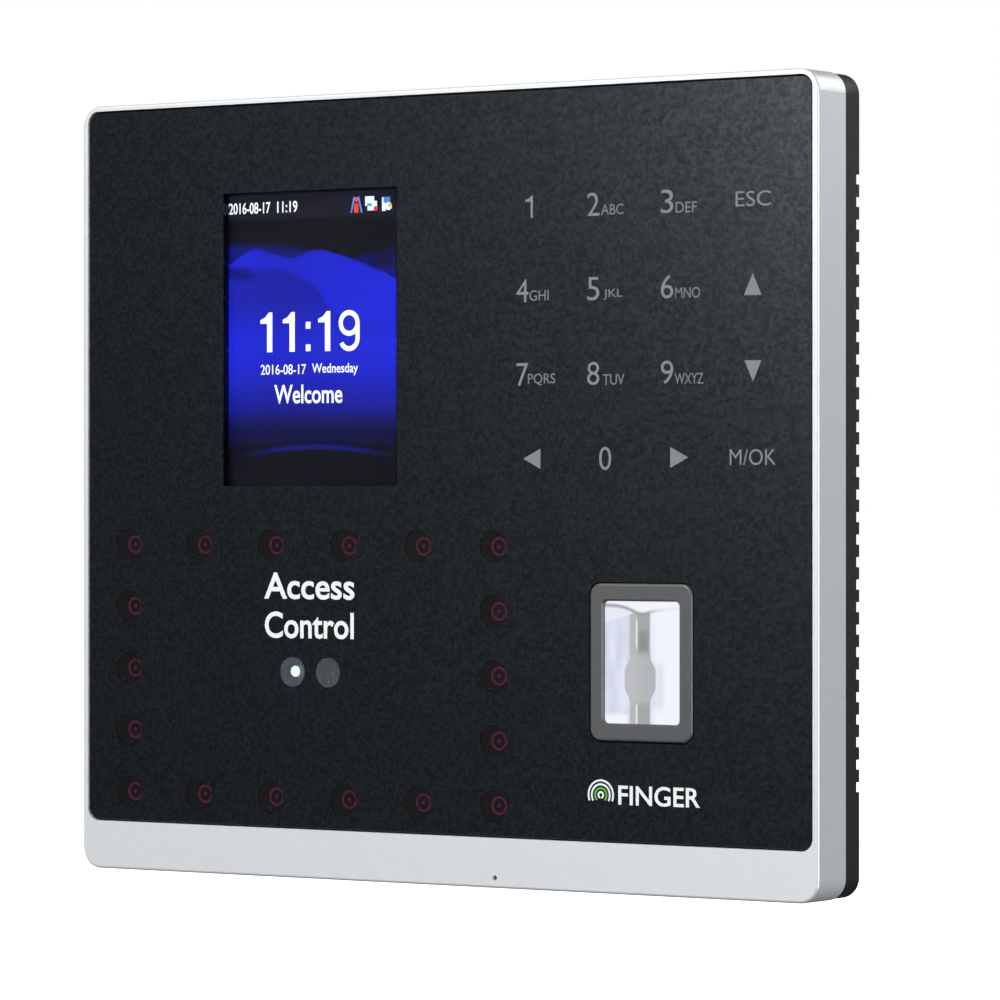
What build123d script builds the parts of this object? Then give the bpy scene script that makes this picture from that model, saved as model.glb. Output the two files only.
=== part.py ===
from build123d import *
import os

# Fingerprint and face terminal that hangs on a steel wall plate. Millimetres.
# +X is to the right as a user sees the front, +Y goes into the wall and +Z is up.
# The wall is the plane Y = 0, and the origin is the centre of the plate's four wall-screw holes.

os.makedirs("parts", exist_ok=True)

# ---------------------------------------------------------------- driving dimensions
WIDTH, HEIGHT, DEPTH = 167.5, 148.8, 32.2  # whole terminal, hung on its plate
CORNER_R = 4.0  # corners of the silver frame, seen from the front
BAND_DEPTH = 9.66  # depth of the silver side band
RIM_DEPTH = 5.2  # depth of the black rim behind the band
RIM_INSET = 0.15  # black rim inside the silver band's outline
RIM_EDGE_R = 0.5  # rounding of the rim's rear edge
WALL = 1.3  # side wall of the silver frame
LIP, LIP_TOP, CHIN = 1.25, 1.0, 9.3  # silver beside, above and below the black panel
PANEL_THICK, PANEL_RECESS, PANEL_R = 2.0, 0.3, 2.4
PANEL_GAP = 0.15  # play between the panel and the lip
COVER_THICK = 2.0  # walls of the black rear cover
PLATE_THICK = 1.5  # steel wall plate
LIFT = 8.0  # travel that unhooks the terminal from its plate
FIT = 0.05  # clearance of parts that only locate each other

# ---------------------------------------------------------------- levels along Y
FRONT_Y = -DEPTH
SEAM_Y = FRONT_Y + BAND_DEPTH  # silver band meets black rim
REAR_Y = SEAM_Y + RIM_DEPTH  # rear face of the black rim
COVER_INNER_Y = REAR_Y - COVER_THICK
PANEL_FRONT = FRONT_Y + PANEL_RECESS
PANEL_BACK = PANEL_FRONT + PANEL_THICK
LEDGE_BACK = PANEL_BACK + 1.5
CHASSIS_FRONT, CHASSIS_BACK = -24.2, -22.7
BOARD_FRONT, BOARD_BACK = -21.9, -20.3
FLOOR_Y = -5.5  # rear wall of the housing, inside the plate's recess
FLOOR_INNER_Y = FLOOR_Y - COVER_THICK
BOX_REAR_Y = -0.5
BAY_FLOOR_Y = -17.5  # floor of the wiring bay

# ---------------------------------------------------------------- front layout (X, Z)
PANEL_W = WIDTH - 2 * LIP
PANEL_TOP, PANEL_BOTTOM = HEIGHT / 2 - LIP_TOP, -HEIGHT / 2 + CHIN
PANEL_H, PANEL_MID = PANEL_TOP - PANEL_BOTTOM, (PANEL_TOP + PANEL_BOTTOM) / 2
SCREEN_X, SCREEN_Z, SCREEN_W, SCREEN_H = -28.95, 28.3, 41.0, 56.2
IR_COLS, IR_ROWS, IR_PITCH_X, IR_PITCH_Z = 6, 5, 17.2, 12.05
IR_RIGHT_X, IR_TOP_Z = 13.5, -11.1  # upper right light of the ring
IR_WINDOW_R = 3.0
CAMERA_SPOTS = [(-32.9, -35.2), (-24.6, -35.2)]
CAMERA_WINDOW_R = 2.9
KEY_COLS, KEY_ROWS, KEY_PITCH_X, KEY_PITCH_Z = 4, 4, 15.9, 15.5
KEY_LEFT_X, KEY_TOP_Z = 22.3, 51.5
FINGER_X, FINGER_Z = 46.1, -32.1  # centre of the fingerprint reader
FINGER_W, FINGER_H, FINGER_R = 22.1, 28.8, 2.2  # its raised surround
GLASS_W, GLASS_H, GLASS_R = 16.4, 22.4, 0.9  # its glass
MIC_X, MIC_Z = 14.0, -72.5

IR_SPOTS = [
    (IR_RIGHT_X - column * IR_PITCH_X, IR_TOP_Z - row * IR_PITCH_Z)
    for column in range(IR_COLS)
    for row in range(IR_ROWS)
    if column in (0, IR_COLS - 1) or row in (0, IR_ROWS - 1)
]
KEY_SPOTS = [
    (KEY_LEFT_X + column * KEY_PITCH_X, KEY_TOP_Z - row * KEY_PITCH_Z)
    for column in range(KEY_COLS)
    for row in range(KEY_ROWS)
]
IR_MID_X = IR_RIGHT_X - (IR_COLS - 1) * IR_PITCH_X / 2
IR_MID_Z = IR_TOP_Z - (IR_ROWS - 1) * IR_PITCH_Z / 2

# ---------------------------------------------------------------- inside and rear layout (X, Z)
COVER_SCREWS = [(-75.5, 66.0), (75.5, 66.0), (-75.5, -67.2), (75.5, -67.2)]
CHASSIS_SCREWS = [(-40.0, 69.2), (40.0, 69.2), (-40.0, -69.2), (40.0, -69.2)]
BOARD_SCREWS = [(-54.0, 51.5), (54.0, 51.5), (-54.0, -36.0), (54.0, -51.2)]
HOUSING_W, HOUSING_H = 25.0, 31.6  # housing of the fingerprint optics
BOX_W, BOX_TOP, BOX_BOTTOM = 124.0, 60.0, -58.0  # deep box behind the rim
BOX_H, BOX_MID = BOX_TOP - BOX_BOTTOM, (BOX_TOP + BOX_BOTTOM) / 2
RECESS_W, RECESS_TOP = 117.0, 56.5  # recess that takes the wall plate
BAY_LEFT, BAY_RIGHT, BAY_TOP, BAY_BOTTOM, BAY_WALL = -38.0, 30.0, -18.0, -50.0, 1.5
BAY_W, BAY_H = BAY_RIGHT - BAY_LEFT, BAY_TOP - BAY_BOTTOM
BAY_X, BAY_Z = (BAY_LEFT + BAY_RIGHT) / 2, (BAY_TOP + BAY_BOTTOM) / 2
VENTS, VENT_PITCH, VENT_W, VENT_MID, VENT_INNER_X = 28, 4.05, 1.8, 0.5, 66.0
HOOKS = [(-28.0, 34.0), (28.0, 34.0), (-47.0, -46.0), (47.0, -46.0)]  # foot of each hook
HOOK_W, HOOK_TALL, HOOK_FRONT_Y = 8.0, 9.0, -9.3
WALL_SPACING_X, WALL_SPACING_Z, WALL_HOLE_R = 88.0, 48.0, 2.3
TAMPER_X, TAMPER_Z = 0.0, 36.0
RESET_X, RESET_Z = -50.0, -10.0
LOCK_X, LOCK_Y = 0.0, -9.5  # axis of the locking screw, along Z
LAN_X, LAN_W, LAN_BACK_Y, LAN_LONG = -22.0, 16.0, -7.8, 21.0
HEADERS = [(-4.0, 10.0, 3), (14.0, 17.5, 6)]  # X, width and pins of each wiring header
HEADER_BACK_Y, HEADER_LONG, HEADER_PITCH, PIN = -11.5, 10.0, 2.54, 0.64
USB_X, USB_W, USB_FRONT_Y, USB_BACK_Y, USB_LOW_Z, USB_LONG = -50.0, 13.2, -17.4, -11.4, -57.8, 14.0
SPEAKER_X, SPEAKER_Z, SPEAKER_W, SPEAKER_H = 71.5, 0.5, 16.0, 36.0


def level(y):
    """Sketch plane across the terminal at depth y: local Y is Z, and extrusion runs to the front."""
    return Plane.XZ.offset(-y)


def slice_at(x, z):
    """Sketch plane through the Y axis line at (x, z): local X is the radius, local Y runs along Y."""
    return Plane(origin=(x, 0, z), x_dir=(1, 0, 0), z_dir=(0, 0, 1))


def save(piece, name):
    """Label a finished piece and write it to its own STEP file."""
    piece.part.label = name
    export_step(piece.part, f"parts/{name}.step")


# ================================================================ silver frame
INNER_W, INNER_H = WIDTH - 2 * WALL, HEIGHT - 2 * WALL
LEDGE_X, LEDGE_TOP, LEDGE_BOTTOM = PANEL_W / 2 - 4.0, PANEL_TOP - 4.0, PANEL_BOTTOM + 1.9
CHIN_POCKET_W, CHIN_POCKET_TOP = 140.0, PANEL_BOTTOM - 1.4
BOSS_END_Y = SEAM_Y - 0.16

with BuildPart() as front_frame:
    with BuildSketch(level(SEAM_Y)):
        RectangleRounded(WIDTH, HEIGHT, CORNER_R)
    extrude(amount=BAND_DEPTH)
    fillet(front_frame.edges().group_by(Axis.Y)[0], 0.5)
    chamfer(front_frame.edges().group_by(Axis.Y)[-1], 0.2)
    # pocket for the black panel, then the hollow behind it with a ledge all round
    with BuildSketch(level(PANEL_BACK)):
        with Locations((0, PANEL_MID)):
            RectangleRounded(PANEL_W, PANEL_H, PANEL_R)
    extrude(amount=PANEL_THICK + PANEL_RECESS, mode=Mode.SUBTRACT)
    with BuildSketch(level(SEAM_Y)):
        RectangleRounded(INNER_W, INNER_H, CORNER_R - WALL)
    extrude(amount=SEAM_Y - LEDGE_BACK, mode=Mode.SUBTRACT)
    with BuildSketch(level(SEAM_Y)):
        with Locations((0, (LEDGE_TOP + LEDGE_BOTTOM) / 2)):
            Rectangle(2 * LEDGE_X, LEDGE_TOP - LEDGE_BOTTOM)
    extrude(amount=SEAM_Y - PANEL_BACK, mode=Mode.SUBTRACT)
    with BuildSketch(level(SEAM_Y)):
        with Locations((0, (CHIN_POCKET_TOP - INNER_H / 2) / 2)):
            Rectangle(CHIN_POCKET_W, CHIN_POCKET_TOP + INNER_H / 2)
    extrude(amount=SEAM_Y - PANEL_BACK, mode=Mode.SUBTRACT)
    # pads that carry the bosses at the top edge
    with BuildSketch(level(LEDGE_BACK)):
        with Locations(COVER_SCREWS[:2] + CHASSIS_SCREWS[:2]):
            Rectangle(9.0, 7.5)
    extrude(amount=LEDGE_BACK - PANEL_BACK)
    # bosses for the cover screws and the chassis screws
    with BuildSketch(level(BOSS_END_Y)):
        with Locations(COVER_SCREWS):
            Circle(3.5)
    extrude(amount=BOSS_END_Y - PANEL_BACK)
    with BuildSketch(level(CHASSIS_FRONT)):
        with Locations(CHASSIS_SCREWS):
            Circle(2.75)
    extrude(amount=CHASSIS_FRONT - PANEL_BACK)
    with BuildSketch(level(BOSS_END_Y)):
        with Locations(COVER_SCREWS):
            Circle(1.5)
    extrude(amount=6.0, mode=Mode.SUBTRACT)
    with BuildSketch(level(CHASSIS_FRONT)):
        with Locations(CHASSIS_SCREWS):
            Circle(1.05)
    extrude(amount=4.2, mode=Mode.SUBTRACT)
    # microphone hole in the chin
    with BuildSketch(level(LEDGE_BACK)):
        with Locations((MIC_X, MIC_Z)):
            Circle(0.5)
    extrude(amount=LEDGE_BACK - FRONT_Y, mode=Mode.SUBTRACT)
save(front_frame, "front_frame")

# ================================================================ black panel and its windows
with BuildPart() as front_panel:
    with BuildSketch(level(PANEL_BACK)):
        with Locations((0, PANEL_MID)):
            RectangleRounded(PANEL_W - 2 * PANEL_GAP, PANEL_H - 2 * PANEL_GAP, PANEL_R - PANEL_GAP)
    extrude(amount=PANEL_THICK)
    chamfer(front_panel.edges().group_by(Axis.Y)[0], 0.25)
    with BuildSketch(level(PANEL_BACK)):
        with Locations((SCREEN_X, SCREEN_Z)):
            Rectangle(SCREEN_W, SCREEN_H)
        with Locations(IR_SPOTS):
            Circle(IR_WINDOW_R)
        with Locations(CAMERA_SPOTS):
            Circle(CAMERA_WINDOW_R)
        with Locations((FINGER_X, FINGER_Z)):
            RectangleRounded(FINGER_W + 0.5, FINGER_H + 0.5, FINGER_R + 0.25)
    extrude(amount=PANEL_THICK, mode=Mode.SUBTRACT)
save(front_panel, "front_panel")

WINDOW_THICK = PANEL_THICK - 0.1  # the windows end just behind the panel's face

with BuildPart() as display_window:
    with BuildSketch(level(PANEL_BACK)):
        with Locations((SCREEN_X, SCREEN_Z)):
            Rectangle(SCREEN_W - 2 * FIT, SCREEN_H - 2 * FIT)
    extrude(amount=WINDOW_THICK)
save(display_window, "display_window")

with BuildPart() as ir_windows:
    with BuildSketch(level(PANEL_BACK)):
        with Locations(IR_SPOTS):
            Circle(IR_WINDOW_R - FIT)
    extrude(amount=WINDOW_THICK)
save(ir_windows, "ir_windows")

with BuildPart() as camera_windows:
    with BuildSketch(level(PANEL_BACK)):
        with Locations(CAMERA_SPOTS):
            Circle(CAMERA_WINDOW_R - FIT)
    extrude(amount=WINDOW_THICK)
save(camera_windows, "camera_windows")

# ================================================================ display
CELL_W, CELL_H, CELL_THICK = 48.6, 66.0, 1.2
TRAY_W, TRAY_H, TRAY_THICK = 50.0, 69.2, 2.0
CELL_FRONT = PANEL_BACK + 0.5
TRAY_FRONT = CELL_FRONT + CELL_THICK
TRAY_BACK = TRAY_FRONT + TRAY_THICK
RIBBON_THICK = 0.2
DISPLAY_RIBBON_W, DISPLAY_SLOT_Z = 30.0, 12.0

with BuildPart() as display_gasket:
    with BuildSketch(level(CELL_FRONT)):
        with Locations((SCREEN_X, SCREEN_Z)):
            Rectangle(47.0, 62.0)
            Rectangle(44.0, 58.6, mode=Mode.SUBTRACT)
    extrude(amount=CELL_FRONT - PANEL_BACK)
save(display_gasket, "display_gasket")

with BuildPart() as display_glass:
    with BuildSketch(level(TRAY_FRONT)):
        with Locations((SCREEN_X, SCREEN_Z)):
            Rectangle(CELL_W, CELL_H)
    extrude(amount=CELL_THICK)
save(display_glass, "display_glass")

with BuildPart() as display_backlight:
    with BuildSketch(level(TRAY_BACK)):
        with Locations((SCREEN_X, SCREEN_Z - 0.1)):
            RectangleRounded(TRAY_W, TRAY_H, 1.0)
    extrude(amount=TRAY_THICK)
    with BuildSketch(level(TRAY_FRONT)):
        with Locations((SCREEN_X, SCREEN_Z - 0.1)):
            RectangleRounded(TRAY_W, TRAY_H, 1.0)
        with Locations((SCREEN_X, SCREEN_Z)):
            Rectangle(CELL_W + 2 * FIT, CELL_H + 2 * FIT, mode=Mode.SUBTRACT)
    extrude(amount=CELL_THICK - 0.2)
save(display_backlight, "display_backlight")

with BuildPart() as display_ribbon:
    with BuildSketch(Plane.YZ.offset(SCREEN_X - DISPLAY_RIBBON_W / 2)):
        with BuildLine() as display_ribbon_path:
            FilletPolyline(
                (TRAY_BACK + 0.15, SCREEN_Z - TRAY_H / 2 + 3.0),
                (TRAY_BACK + 0.15, DISPLAY_SLOT_Z),
                (BOARD_FRONT - 0.4, DISPLAY_SLOT_Z),
                (BOARD_FRONT - 0.4, DISPLAY_SLOT_Z + 5.0),
                radius=0.6,
            )
        trace(line_width=RIBBON_THICK)
    extrude(amount=DISPLAY_RIBBON_W)
save(display_ribbon, "display_ribbon")

# ================================================================ touch keypad
TOUCH_FRONT = PANEL_BACK + 0.15
TOUCH_BACK = TOUCH_FRONT + 1.2
TOUCH_LEFT, TOUCH_RIGHT, TOUCH_LOW, TOUCH_HIGH = 12.0, 77.8, -4.5, 61.0
TOUCH_CONNECTOR_X, TOUCH_RIBBON_W, TOUCH_SLOT_Z = 46.0, 18.0, 20.0

with BuildPart() as touch_electrodes:
    with BuildSketch(level(TOUCH_FRONT)):
        with Locations(KEY_SPOTS):
            RectangleRounded(11.0, 10.0, 2.0)
    extrude(amount=0.1)
save(touch_electrodes, "touch_electrodes")

with BuildPart() as touch_board:
    with BuildSketch(level(TOUCH_BACK)):
        with Locations(((TOUCH_LEFT + TOUCH_RIGHT) / 2, (TOUCH_LOW + TOUCH_HIGH) / 2)):
            RectangleRounded(TOUCH_RIGHT - TOUCH_LEFT, TOUCH_HIGH - TOUCH_LOW, 1.5)
    extrude(amount=TOUCH_BACK - TOUCH_FRONT)
save(touch_board, "touch_board")

with BuildPart() as touch_chips:
    with BuildSketch(level(TOUCH_BACK + 1.0)):
        with Locations((30.0, 43.8), (62.0, 43.8)):
            Rectangle(7.0, 7.0)
    extrude(amount=1.0)
save(touch_chips, "touch_chips")

with BuildPart() as touch_connector:
    with BuildSketch(level(TOUCH_BACK + 1.2)):
        with Locations((TOUCH_CONNECTOR_X, 12.0)):
            Rectangle(TOUCH_RIBBON_W + 3.0, 4.5)
    extrude(amount=1.2)
    with BuildSketch(level(TOUCH_BACK + 0.8)):
        with Locations((TOUCH_CONNECTOR_X, 13.5)):
            Rectangle(TOUCH_RIBBON_W + 0.3, 4.0)
    extrude(amount=0.4, mode=Mode.SUBTRACT)
save(touch_connector, "touch_connector")

with BuildPart() as touch_ribbon:
    with BuildSketch(Plane.YZ.offset(TOUCH_CONNECTOR_X - TOUCH_RIBBON_W / 2)):
        with BuildLine() as touch_ribbon_path:
            FilletPolyline(
                (TOUCH_BACK + 0.6, 11.7),
                (TOUCH_BACK + 0.6, TOUCH_SLOT_Z),
                (BOARD_FRONT - 0.4, TOUCH_SLOT_Z),
                (BOARD_FRONT - 0.4, TOUCH_SLOT_Z + 6.0),
                radius=0.6,
            )
        trace(line_width=RIBBON_THICK)
    extrude(amount=TOUCH_RIBBON_W)
save(touch_ribbon, "touch_ribbon")

# ================================================================ ring of infrared lights
SHROUD_BACK = -25.8
IR_BOARD_BACK = SHROUD_BACK + 1.2
RING_LEFT, RING_RIGHT, RING_LOW, RING_HIGH = -76.4, 18.0, -63.0, -7.2
RING_X, RING_Z = (RING_LEFT + RING_RIGHT) / 2, (RING_LOW + RING_HIGH) / 2
RING_HOLE_W, RING_HOLE_H = 72.0, 34.0
LED_R, LED_FLANGE_R, LED_FLANGE, LED_STRAIGHT = 1.5, 1.9, 0.8, 0.7

with BuildPart() as ir_shroud:
    with BuildSketch(level(SHROUD_BACK)):
        with Locations((RING_X, RING_Z)):
            RectangleRounded(RING_RIGHT - RING_LEFT, RING_HIGH - RING_LOW, 2.0)
        with Locations((IR_MID_X, IR_MID_Z)):
            RectangleRounded(RING_HOLE_W, RING_HOLE_H, 2.0, mode=Mode.SUBTRACT)
        with Locations(IR_SPOTS):
            Circle(IR_WINDOW_R, mode=Mode.SUBTRACT)
    extrude(amount=SHROUD_BACK - PANEL_BACK - FIT)
save(ir_shroud, "ir_shroud")

with BuildPart() as ir_led_board:
    with BuildSketch(level(IR_BOARD_BACK)):
        with Locations((RING_X, RING_Z)):
            RectangleRounded(RING_RIGHT - RING_LEFT, RING_HIGH - RING_LOW, 2.0)
        with Locations((IR_MID_X, IR_MID_Z)):
            RectangleRounded(RING_HOLE_W, RING_HOLE_H, 2.0, mode=Mode.SUBTRACT)
    extrude(amount=IR_BOARD_BACK - SHROUD_BACK)
save(ir_led_board, "ir_led_board")

with BuildPart() as ir_leds:
    for x, z in IR_SPOTS:
        with BuildSketch(slice_at(x, z)):
            with BuildLine():
                foot = Line((0, SHROUD_BACK), (LED_FLANGE_R, SHROUD_BACK))
                flange = Line(foot @ 1, (LED_FLANGE_R, SHROUD_BACK - LED_FLANGE))
                step = Line(flange @ 1, (LED_R, SHROUD_BACK - LED_FLANGE))
                body = Line(step @ 1, (LED_R, SHROUD_BACK - LED_FLANGE - LED_STRAIGHT))
                dome = CenterArc((0, SHROUD_BACK - LED_FLANGE - LED_STRAIGHT), LED_R, 0, -90)
                Line(dome @ 1, foot @ 0)
            make_face()
        revolve(axis=Axis((x, 0, z), (0, 1, 0)))
save(ir_leds, "ir_leds")

# ================================================================ twin camera
CAMERA_BOARD_FRONT, CAMERA_BOARD_BACK = -25.3, -24.3
BARREL_BASE, BARREL_FRONT = CAMERA_BOARD_FRONT - 1.6, -29.3
BARREL_R, LENS_R, LENS_EDGE, LENS_RISE = 3.6, 2.45, 0.35, 0.5

with BuildPart() as camera_board:
    with BuildSketch(level(CAMERA_BOARD_BACK)):
        with Locations((sum(x for x, z in CAMERA_SPOTS) / 2, CAMERA_SPOTS[0][1])):
            RectangleRounded(26.0, 14.0, 1.0)
    extrude(amount=CAMERA_BOARD_BACK - CAMERA_BOARD_FRONT)
save(camera_board, "camera_board")

with BuildPart() as camera_barrels:
    with BuildSketch(level(CAMERA_BOARD_FRONT)):
        with Locations(CAMERA_SPOTS):
            RectangleRounded(8.0, 8.6, 0.8)
    extrude(amount=CAMERA_BOARD_FRONT - BARREL_BASE)
    with BuildSketch(level(BARREL_BASE)):
        with Locations(CAMERA_SPOTS):
            Circle(BARREL_R)
    extrude(amount=BARREL_BASE - BARREL_FRONT)
    with BuildSketch(level(BARREL_FRONT + 1.0)):
        with Locations(CAMERA_SPOTS):
            Circle(LENS_R + FIT)
    extrude(amount=1.0, mode=Mode.SUBTRACT)
    with BuildSketch(level(BARREL_FRONT + 2.0)):
        with Locations(CAMERA_SPOTS):
            Circle(1.5)
    extrude(amount=1.0, mode=Mode.SUBTRACT)
save(camera_barrels, "camera_barrels")

LENS_BALL_R = (LENS_R**2 + LENS_RISE**2) / (2 * LENS_RISE)

with BuildPart() as camera_lenses:
    for x, z in CAMERA_SPOTS:
        with BuildSketch(slice_at(x, z)):
            with BuildLine():
                rear = Line((0, BARREL_FRONT + 1.0), (LENS_R, BARREL_FRONT + 1.0))
                rim = Line(rear @ 1, (LENS_R, BARREL_FRONT + 1.0 - LENS_EDGE))
                apex = (0, BARREL_FRONT + 1.0 - LENS_EDGE - LENS_RISE)
                RadiusArc(rim @ 1, apex, LENS_BALL_R)
                Line(apex, rear @ 0)
            make_face()
        revolve(axis=Axis((x, 0, z), (0, 1, 0)))
save(camera_lenses, "camera_lenses")

# ================================================================ fingerprint reader
FLANGE_FRONT, FLANGE_BACK = PANEL_BACK + 0.5, PANEL_BACK + 1.3
FLANGE_W, FLANGE_H = 26.5, 33.0
PRISM_FRONT = FRONT_Y + 0.7
HOUSING_BACK = -14.5
HOUSING_COLLAR_BACK = -26.5
LIGHT_BOARD_Z = FINGER_Z - 13.4
FINGER_CAMERA_Z, FINGER_CAMERA_R = FINGER_Z - 2.0, 4.0
FINGER_BOARD_FRONT, FINGER_BOARD_BACK = -14.45, -13.25

with BuildPart() as fingerprint_bezel:
    with BuildSketch(level(FLANGE_BACK)):
        with Locations((FINGER_X, FINGER_Z)):
            RectangleRounded(FINGER_W, FINGER_H, FINGER_R)
    extrude(amount=FLANGE_BACK - FRONT_Y)
    fillet(fingerprint_bezel.edges().group_by(Axis.Y)[0], 0.45)
    with BuildSketch(level(FLANGE_BACK)):
        with Locations((FINGER_X, FINGER_Z)):
            RectangleRounded(FLANGE_W, FLANGE_H, 1.0)
    extrude(amount=FLANGE_BACK - FLANGE_FRONT)
    with BuildSketch(level(FLANGE_BACK)):
        with Locations((FINGER_X, FINGER_Z)):
            RectangleRounded(GLASS_W, GLASS_H, GLASS_R)
    extrude(amount=FLANGE_BACK - FRONT_Y, mode=Mode.SUBTRACT)
    inner_edge = fingerprint_bezel.edges().group_by(Axis.Y)[0].filter_by_position(
        Axis.Z, FINGER_Z - GLASS_H / 2 - 0.1, FINGER_Z + GLASS_H / 2 + 0.1
    ).filter_by_position(Axis.X, FINGER_X - GLASS_W / 2 - 0.1, FINGER_X + GLASS_W / 2 + 0.1)
    chamfer(inner_edge, 0.3)
save(fingerprint_bezel, "fingerprint_bezel")

with BuildPart() as fingerprint_gasket:
    with BuildSketch(level(FLANGE_FRONT)):
        with Locations((FINGER_X, FINGER_Z)):
            RectangleRounded(FLANGE_W, FLANGE_H, 1.0)
            RectangleRounded(FINGER_W + 0.9, FINGER_H + 0.9, FINGER_R, mode=Mode.SUBTRACT)
    extrude(amount=FLANGE_FRONT - PANEL_BACK)
save(fingerprint_gasket, "fingerprint_gasket")

PRISM_HALF = GLASS_H / 2 - FIT

with BuildPart() as fingerprint_prism:
    with BuildSketch(Plane.YZ.offset(FINGER_X - GLASS_W / 2 + FIT)):
        with BuildLine():
            Polyline(
                (PRISM_FRONT, FINGER_Z - PRISM_HALF),
                (PRISM_FRONT, FINGER_Z + PRISM_HALF),
                (HOUSING_COLLAR_BACK, FINGER_Z + PRISM_HALF),
                (-19.5, FINGER_Z + 1.0),
                (-19.5, FINGER_Z - 5.5),
                (-24.5, FINGER_Z - PRISM_HALF),
                close=True,
            )
        make_face()
    extrude(amount=GLASS_W - 2 * FIT)
    corners = fingerprint_prism.edges().filter_by(Axis.Y)
    fillet(corners, GLASS_R)
save(fingerprint_prism, "fingerprint_prism")

with BuildPart() as fingerprint_housing:
    with BuildSketch(level(HOUSING_BACK)):
        with Locations((FINGER_X, FINGER_Z)):
            RectangleRounded(HOUSING_W, HOUSING_H, 1.5)
    extrude(amount=HOUSING_BACK - FLANGE_BACK)
    with BuildSketch(level(HOUSING_BACK - 1.5)):
        with Locations((FINGER_X, FINGER_Z)):
            RectangleRounded(HOUSING_W - 3.0, HOUSING_H - 3.0, 0.5)
    extrude(amount=HOUSING_BACK - 1.5 - HOUSING_COLLAR_BACK, mode=Mode.SUBTRACT)
    with BuildSketch(level(HOUSING_COLLAR_BACK)):
        with Locations((FINGER_X, FINGER_Z)):
            RectangleRounded(GLASS_W, GLASS_H, GLASS_R)
    extrude(amount=HOUSING_COLLAR_BACK - FLANGE_BACK, mode=Mode.SUBTRACT)
    with BuildSketch(level(HOUSING_BACK)):
        with Locations((FINGER_X, FINGER_CAMERA_Z)):
            Circle(FINGER_CAMERA_R + FIT)
    extrude(amount=1.5, mode=Mode.SUBTRACT)
save(fingerprint_housing, "fingerprint_housing")

with BuildPart() as fingerprint_light_board:
    with BuildSketch(Plane.XY.offset(LIGHT_BOARD_Z - 0.8)):
        with Locations((FINGER_X, -20.5)):
            Rectangle(19.0, 7.0)
    extrude(amount=0.8)
save(fingerprint_light_board, "fingerprint_light_board")

with BuildPart() as fingerprint_lights:
    with BuildSketch(Plane.XY.offset(LIGHT_BOARD_Z)):
        with Locations((FINGER_X, -20.5)):
            with GridLocations(5.0, 1.0, 4, 1):
                Rectangle(3.0, 2.4)
    extrude(amount=0.9)
save(fingerprint_lights, "fingerprint_lights")

with BuildPart() as fingerprint_camera:
    with BuildSketch(level(FINGER_BOARD_FRONT)):
        with Locations((FINGER_X, FINGER_CAMERA_Z)):
            Circle(FINGER_CAMERA_R)
    extrude(amount=4.0)
    with BuildSketch(level(FINGER_BOARD_FRONT - 3.4)):
        with Locations((FINGER_X, FINGER_CAMERA_Z)):
            Circle(2.4)
    extrude(amount=0.6, mode=Mode.SUBTRACT)
save(fingerprint_camera, "fingerprint_camera")

with BuildPart() as fingerprint_board:
    with BuildSketch(level(FINGER_BOARD_BACK)):
        with Locations((FINGER_X, FINGER_Z)):
            RectangleRounded(24.0, 30.0, 1.0)
    extrude(amount=FINGER_BOARD_BACK - FINGER_BOARD_FRONT)
save(fingerprint_board, "fingerprint_board")

with BuildPart() as fingerprint_chip:
    with BuildSketch(level(FINGER_BOARD_BACK + 1.0)):
        with Locations((FINGER_X, FINGER_Z + 6.0)):
            Rectangle(9.0, 9.0)
    extrude(amount=1.0)
    chamfer(fingerprint_chip.edges().group_by(Axis.Y)[-1], 0.15)
save(fingerprint_chip, "fingerprint_chip")

# ================================================================ microphone
MIC_CAPSULE_Z, MIC_R, BOOT_BACK = -70.3, 2.0, -26.4

with BuildPart() as microphone_boot:
    with BuildSketch(level(BOOT_BACK)):
        with Locations((MIC_X, (CHIN_POCKET_TOP - INNER_H / 2) / 2)):
            Rectangle(6.0, CHIN_POCKET_TOP + INNER_H / 2 - 0.2)
    extrude(amount=BOOT_BACK - PANEL_BACK)
    with BuildSketch(level(BOOT_BACK)):
        with Locations((MIC_X, MIC_CAPSULE_Z)):
            Circle(MIC_R + FIT)
    extrude(amount=2.4, mode=Mode.SUBTRACT)
    # sound channel from the hole in the chin to the capsule
    with BuildSketch(level(PANEL_BACK + 0.6)):
        with Locations((MIC_X, (MIC_Z + MIC_CAPSULE_Z) / 2)):
            SlotOverall(MIC_CAPSULE_Z - MIC_Z + 1.0, 1.0, rotation=90)
    extrude(amount=0.6, mode=Mode.SUBTRACT)
    with BuildSketch(level(BOOT_BACK)):
        with Locations((MIC_X, MIC_CAPSULE_Z)):
            Circle(0.5)
    extrude(amount=BOOT_BACK - PANEL_BACK, mode=Mode.SUBTRACT)
save(microphone_boot, "microphone_boot")

with BuildPart() as microphone:
    with BuildSketch(level(BOOT_BACK)):
        with Locations((MIC_X, MIC_CAPSULE_Z)):
            Circle(MIC_R)
    extrude(amount=2.3)
    chamfer(microphone.edges().group_by(Axis.Y)[0], 0.2)
    with BuildSketch(level(BOOT_BACK - 2.0)):
        with Locations((MIC_X, MIC_CAPSULE_Z)):
            Circle(0.4)
    extrude(amount=0.3, mode=Mode.SUBTRACT)
save(microphone, "microphone")

# ================================================================ inner chassis
STANDOFF_R, BOARD_SCREW_R, CHASSIS_SCREW_R = 2.6, 1.25, 1.0

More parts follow.
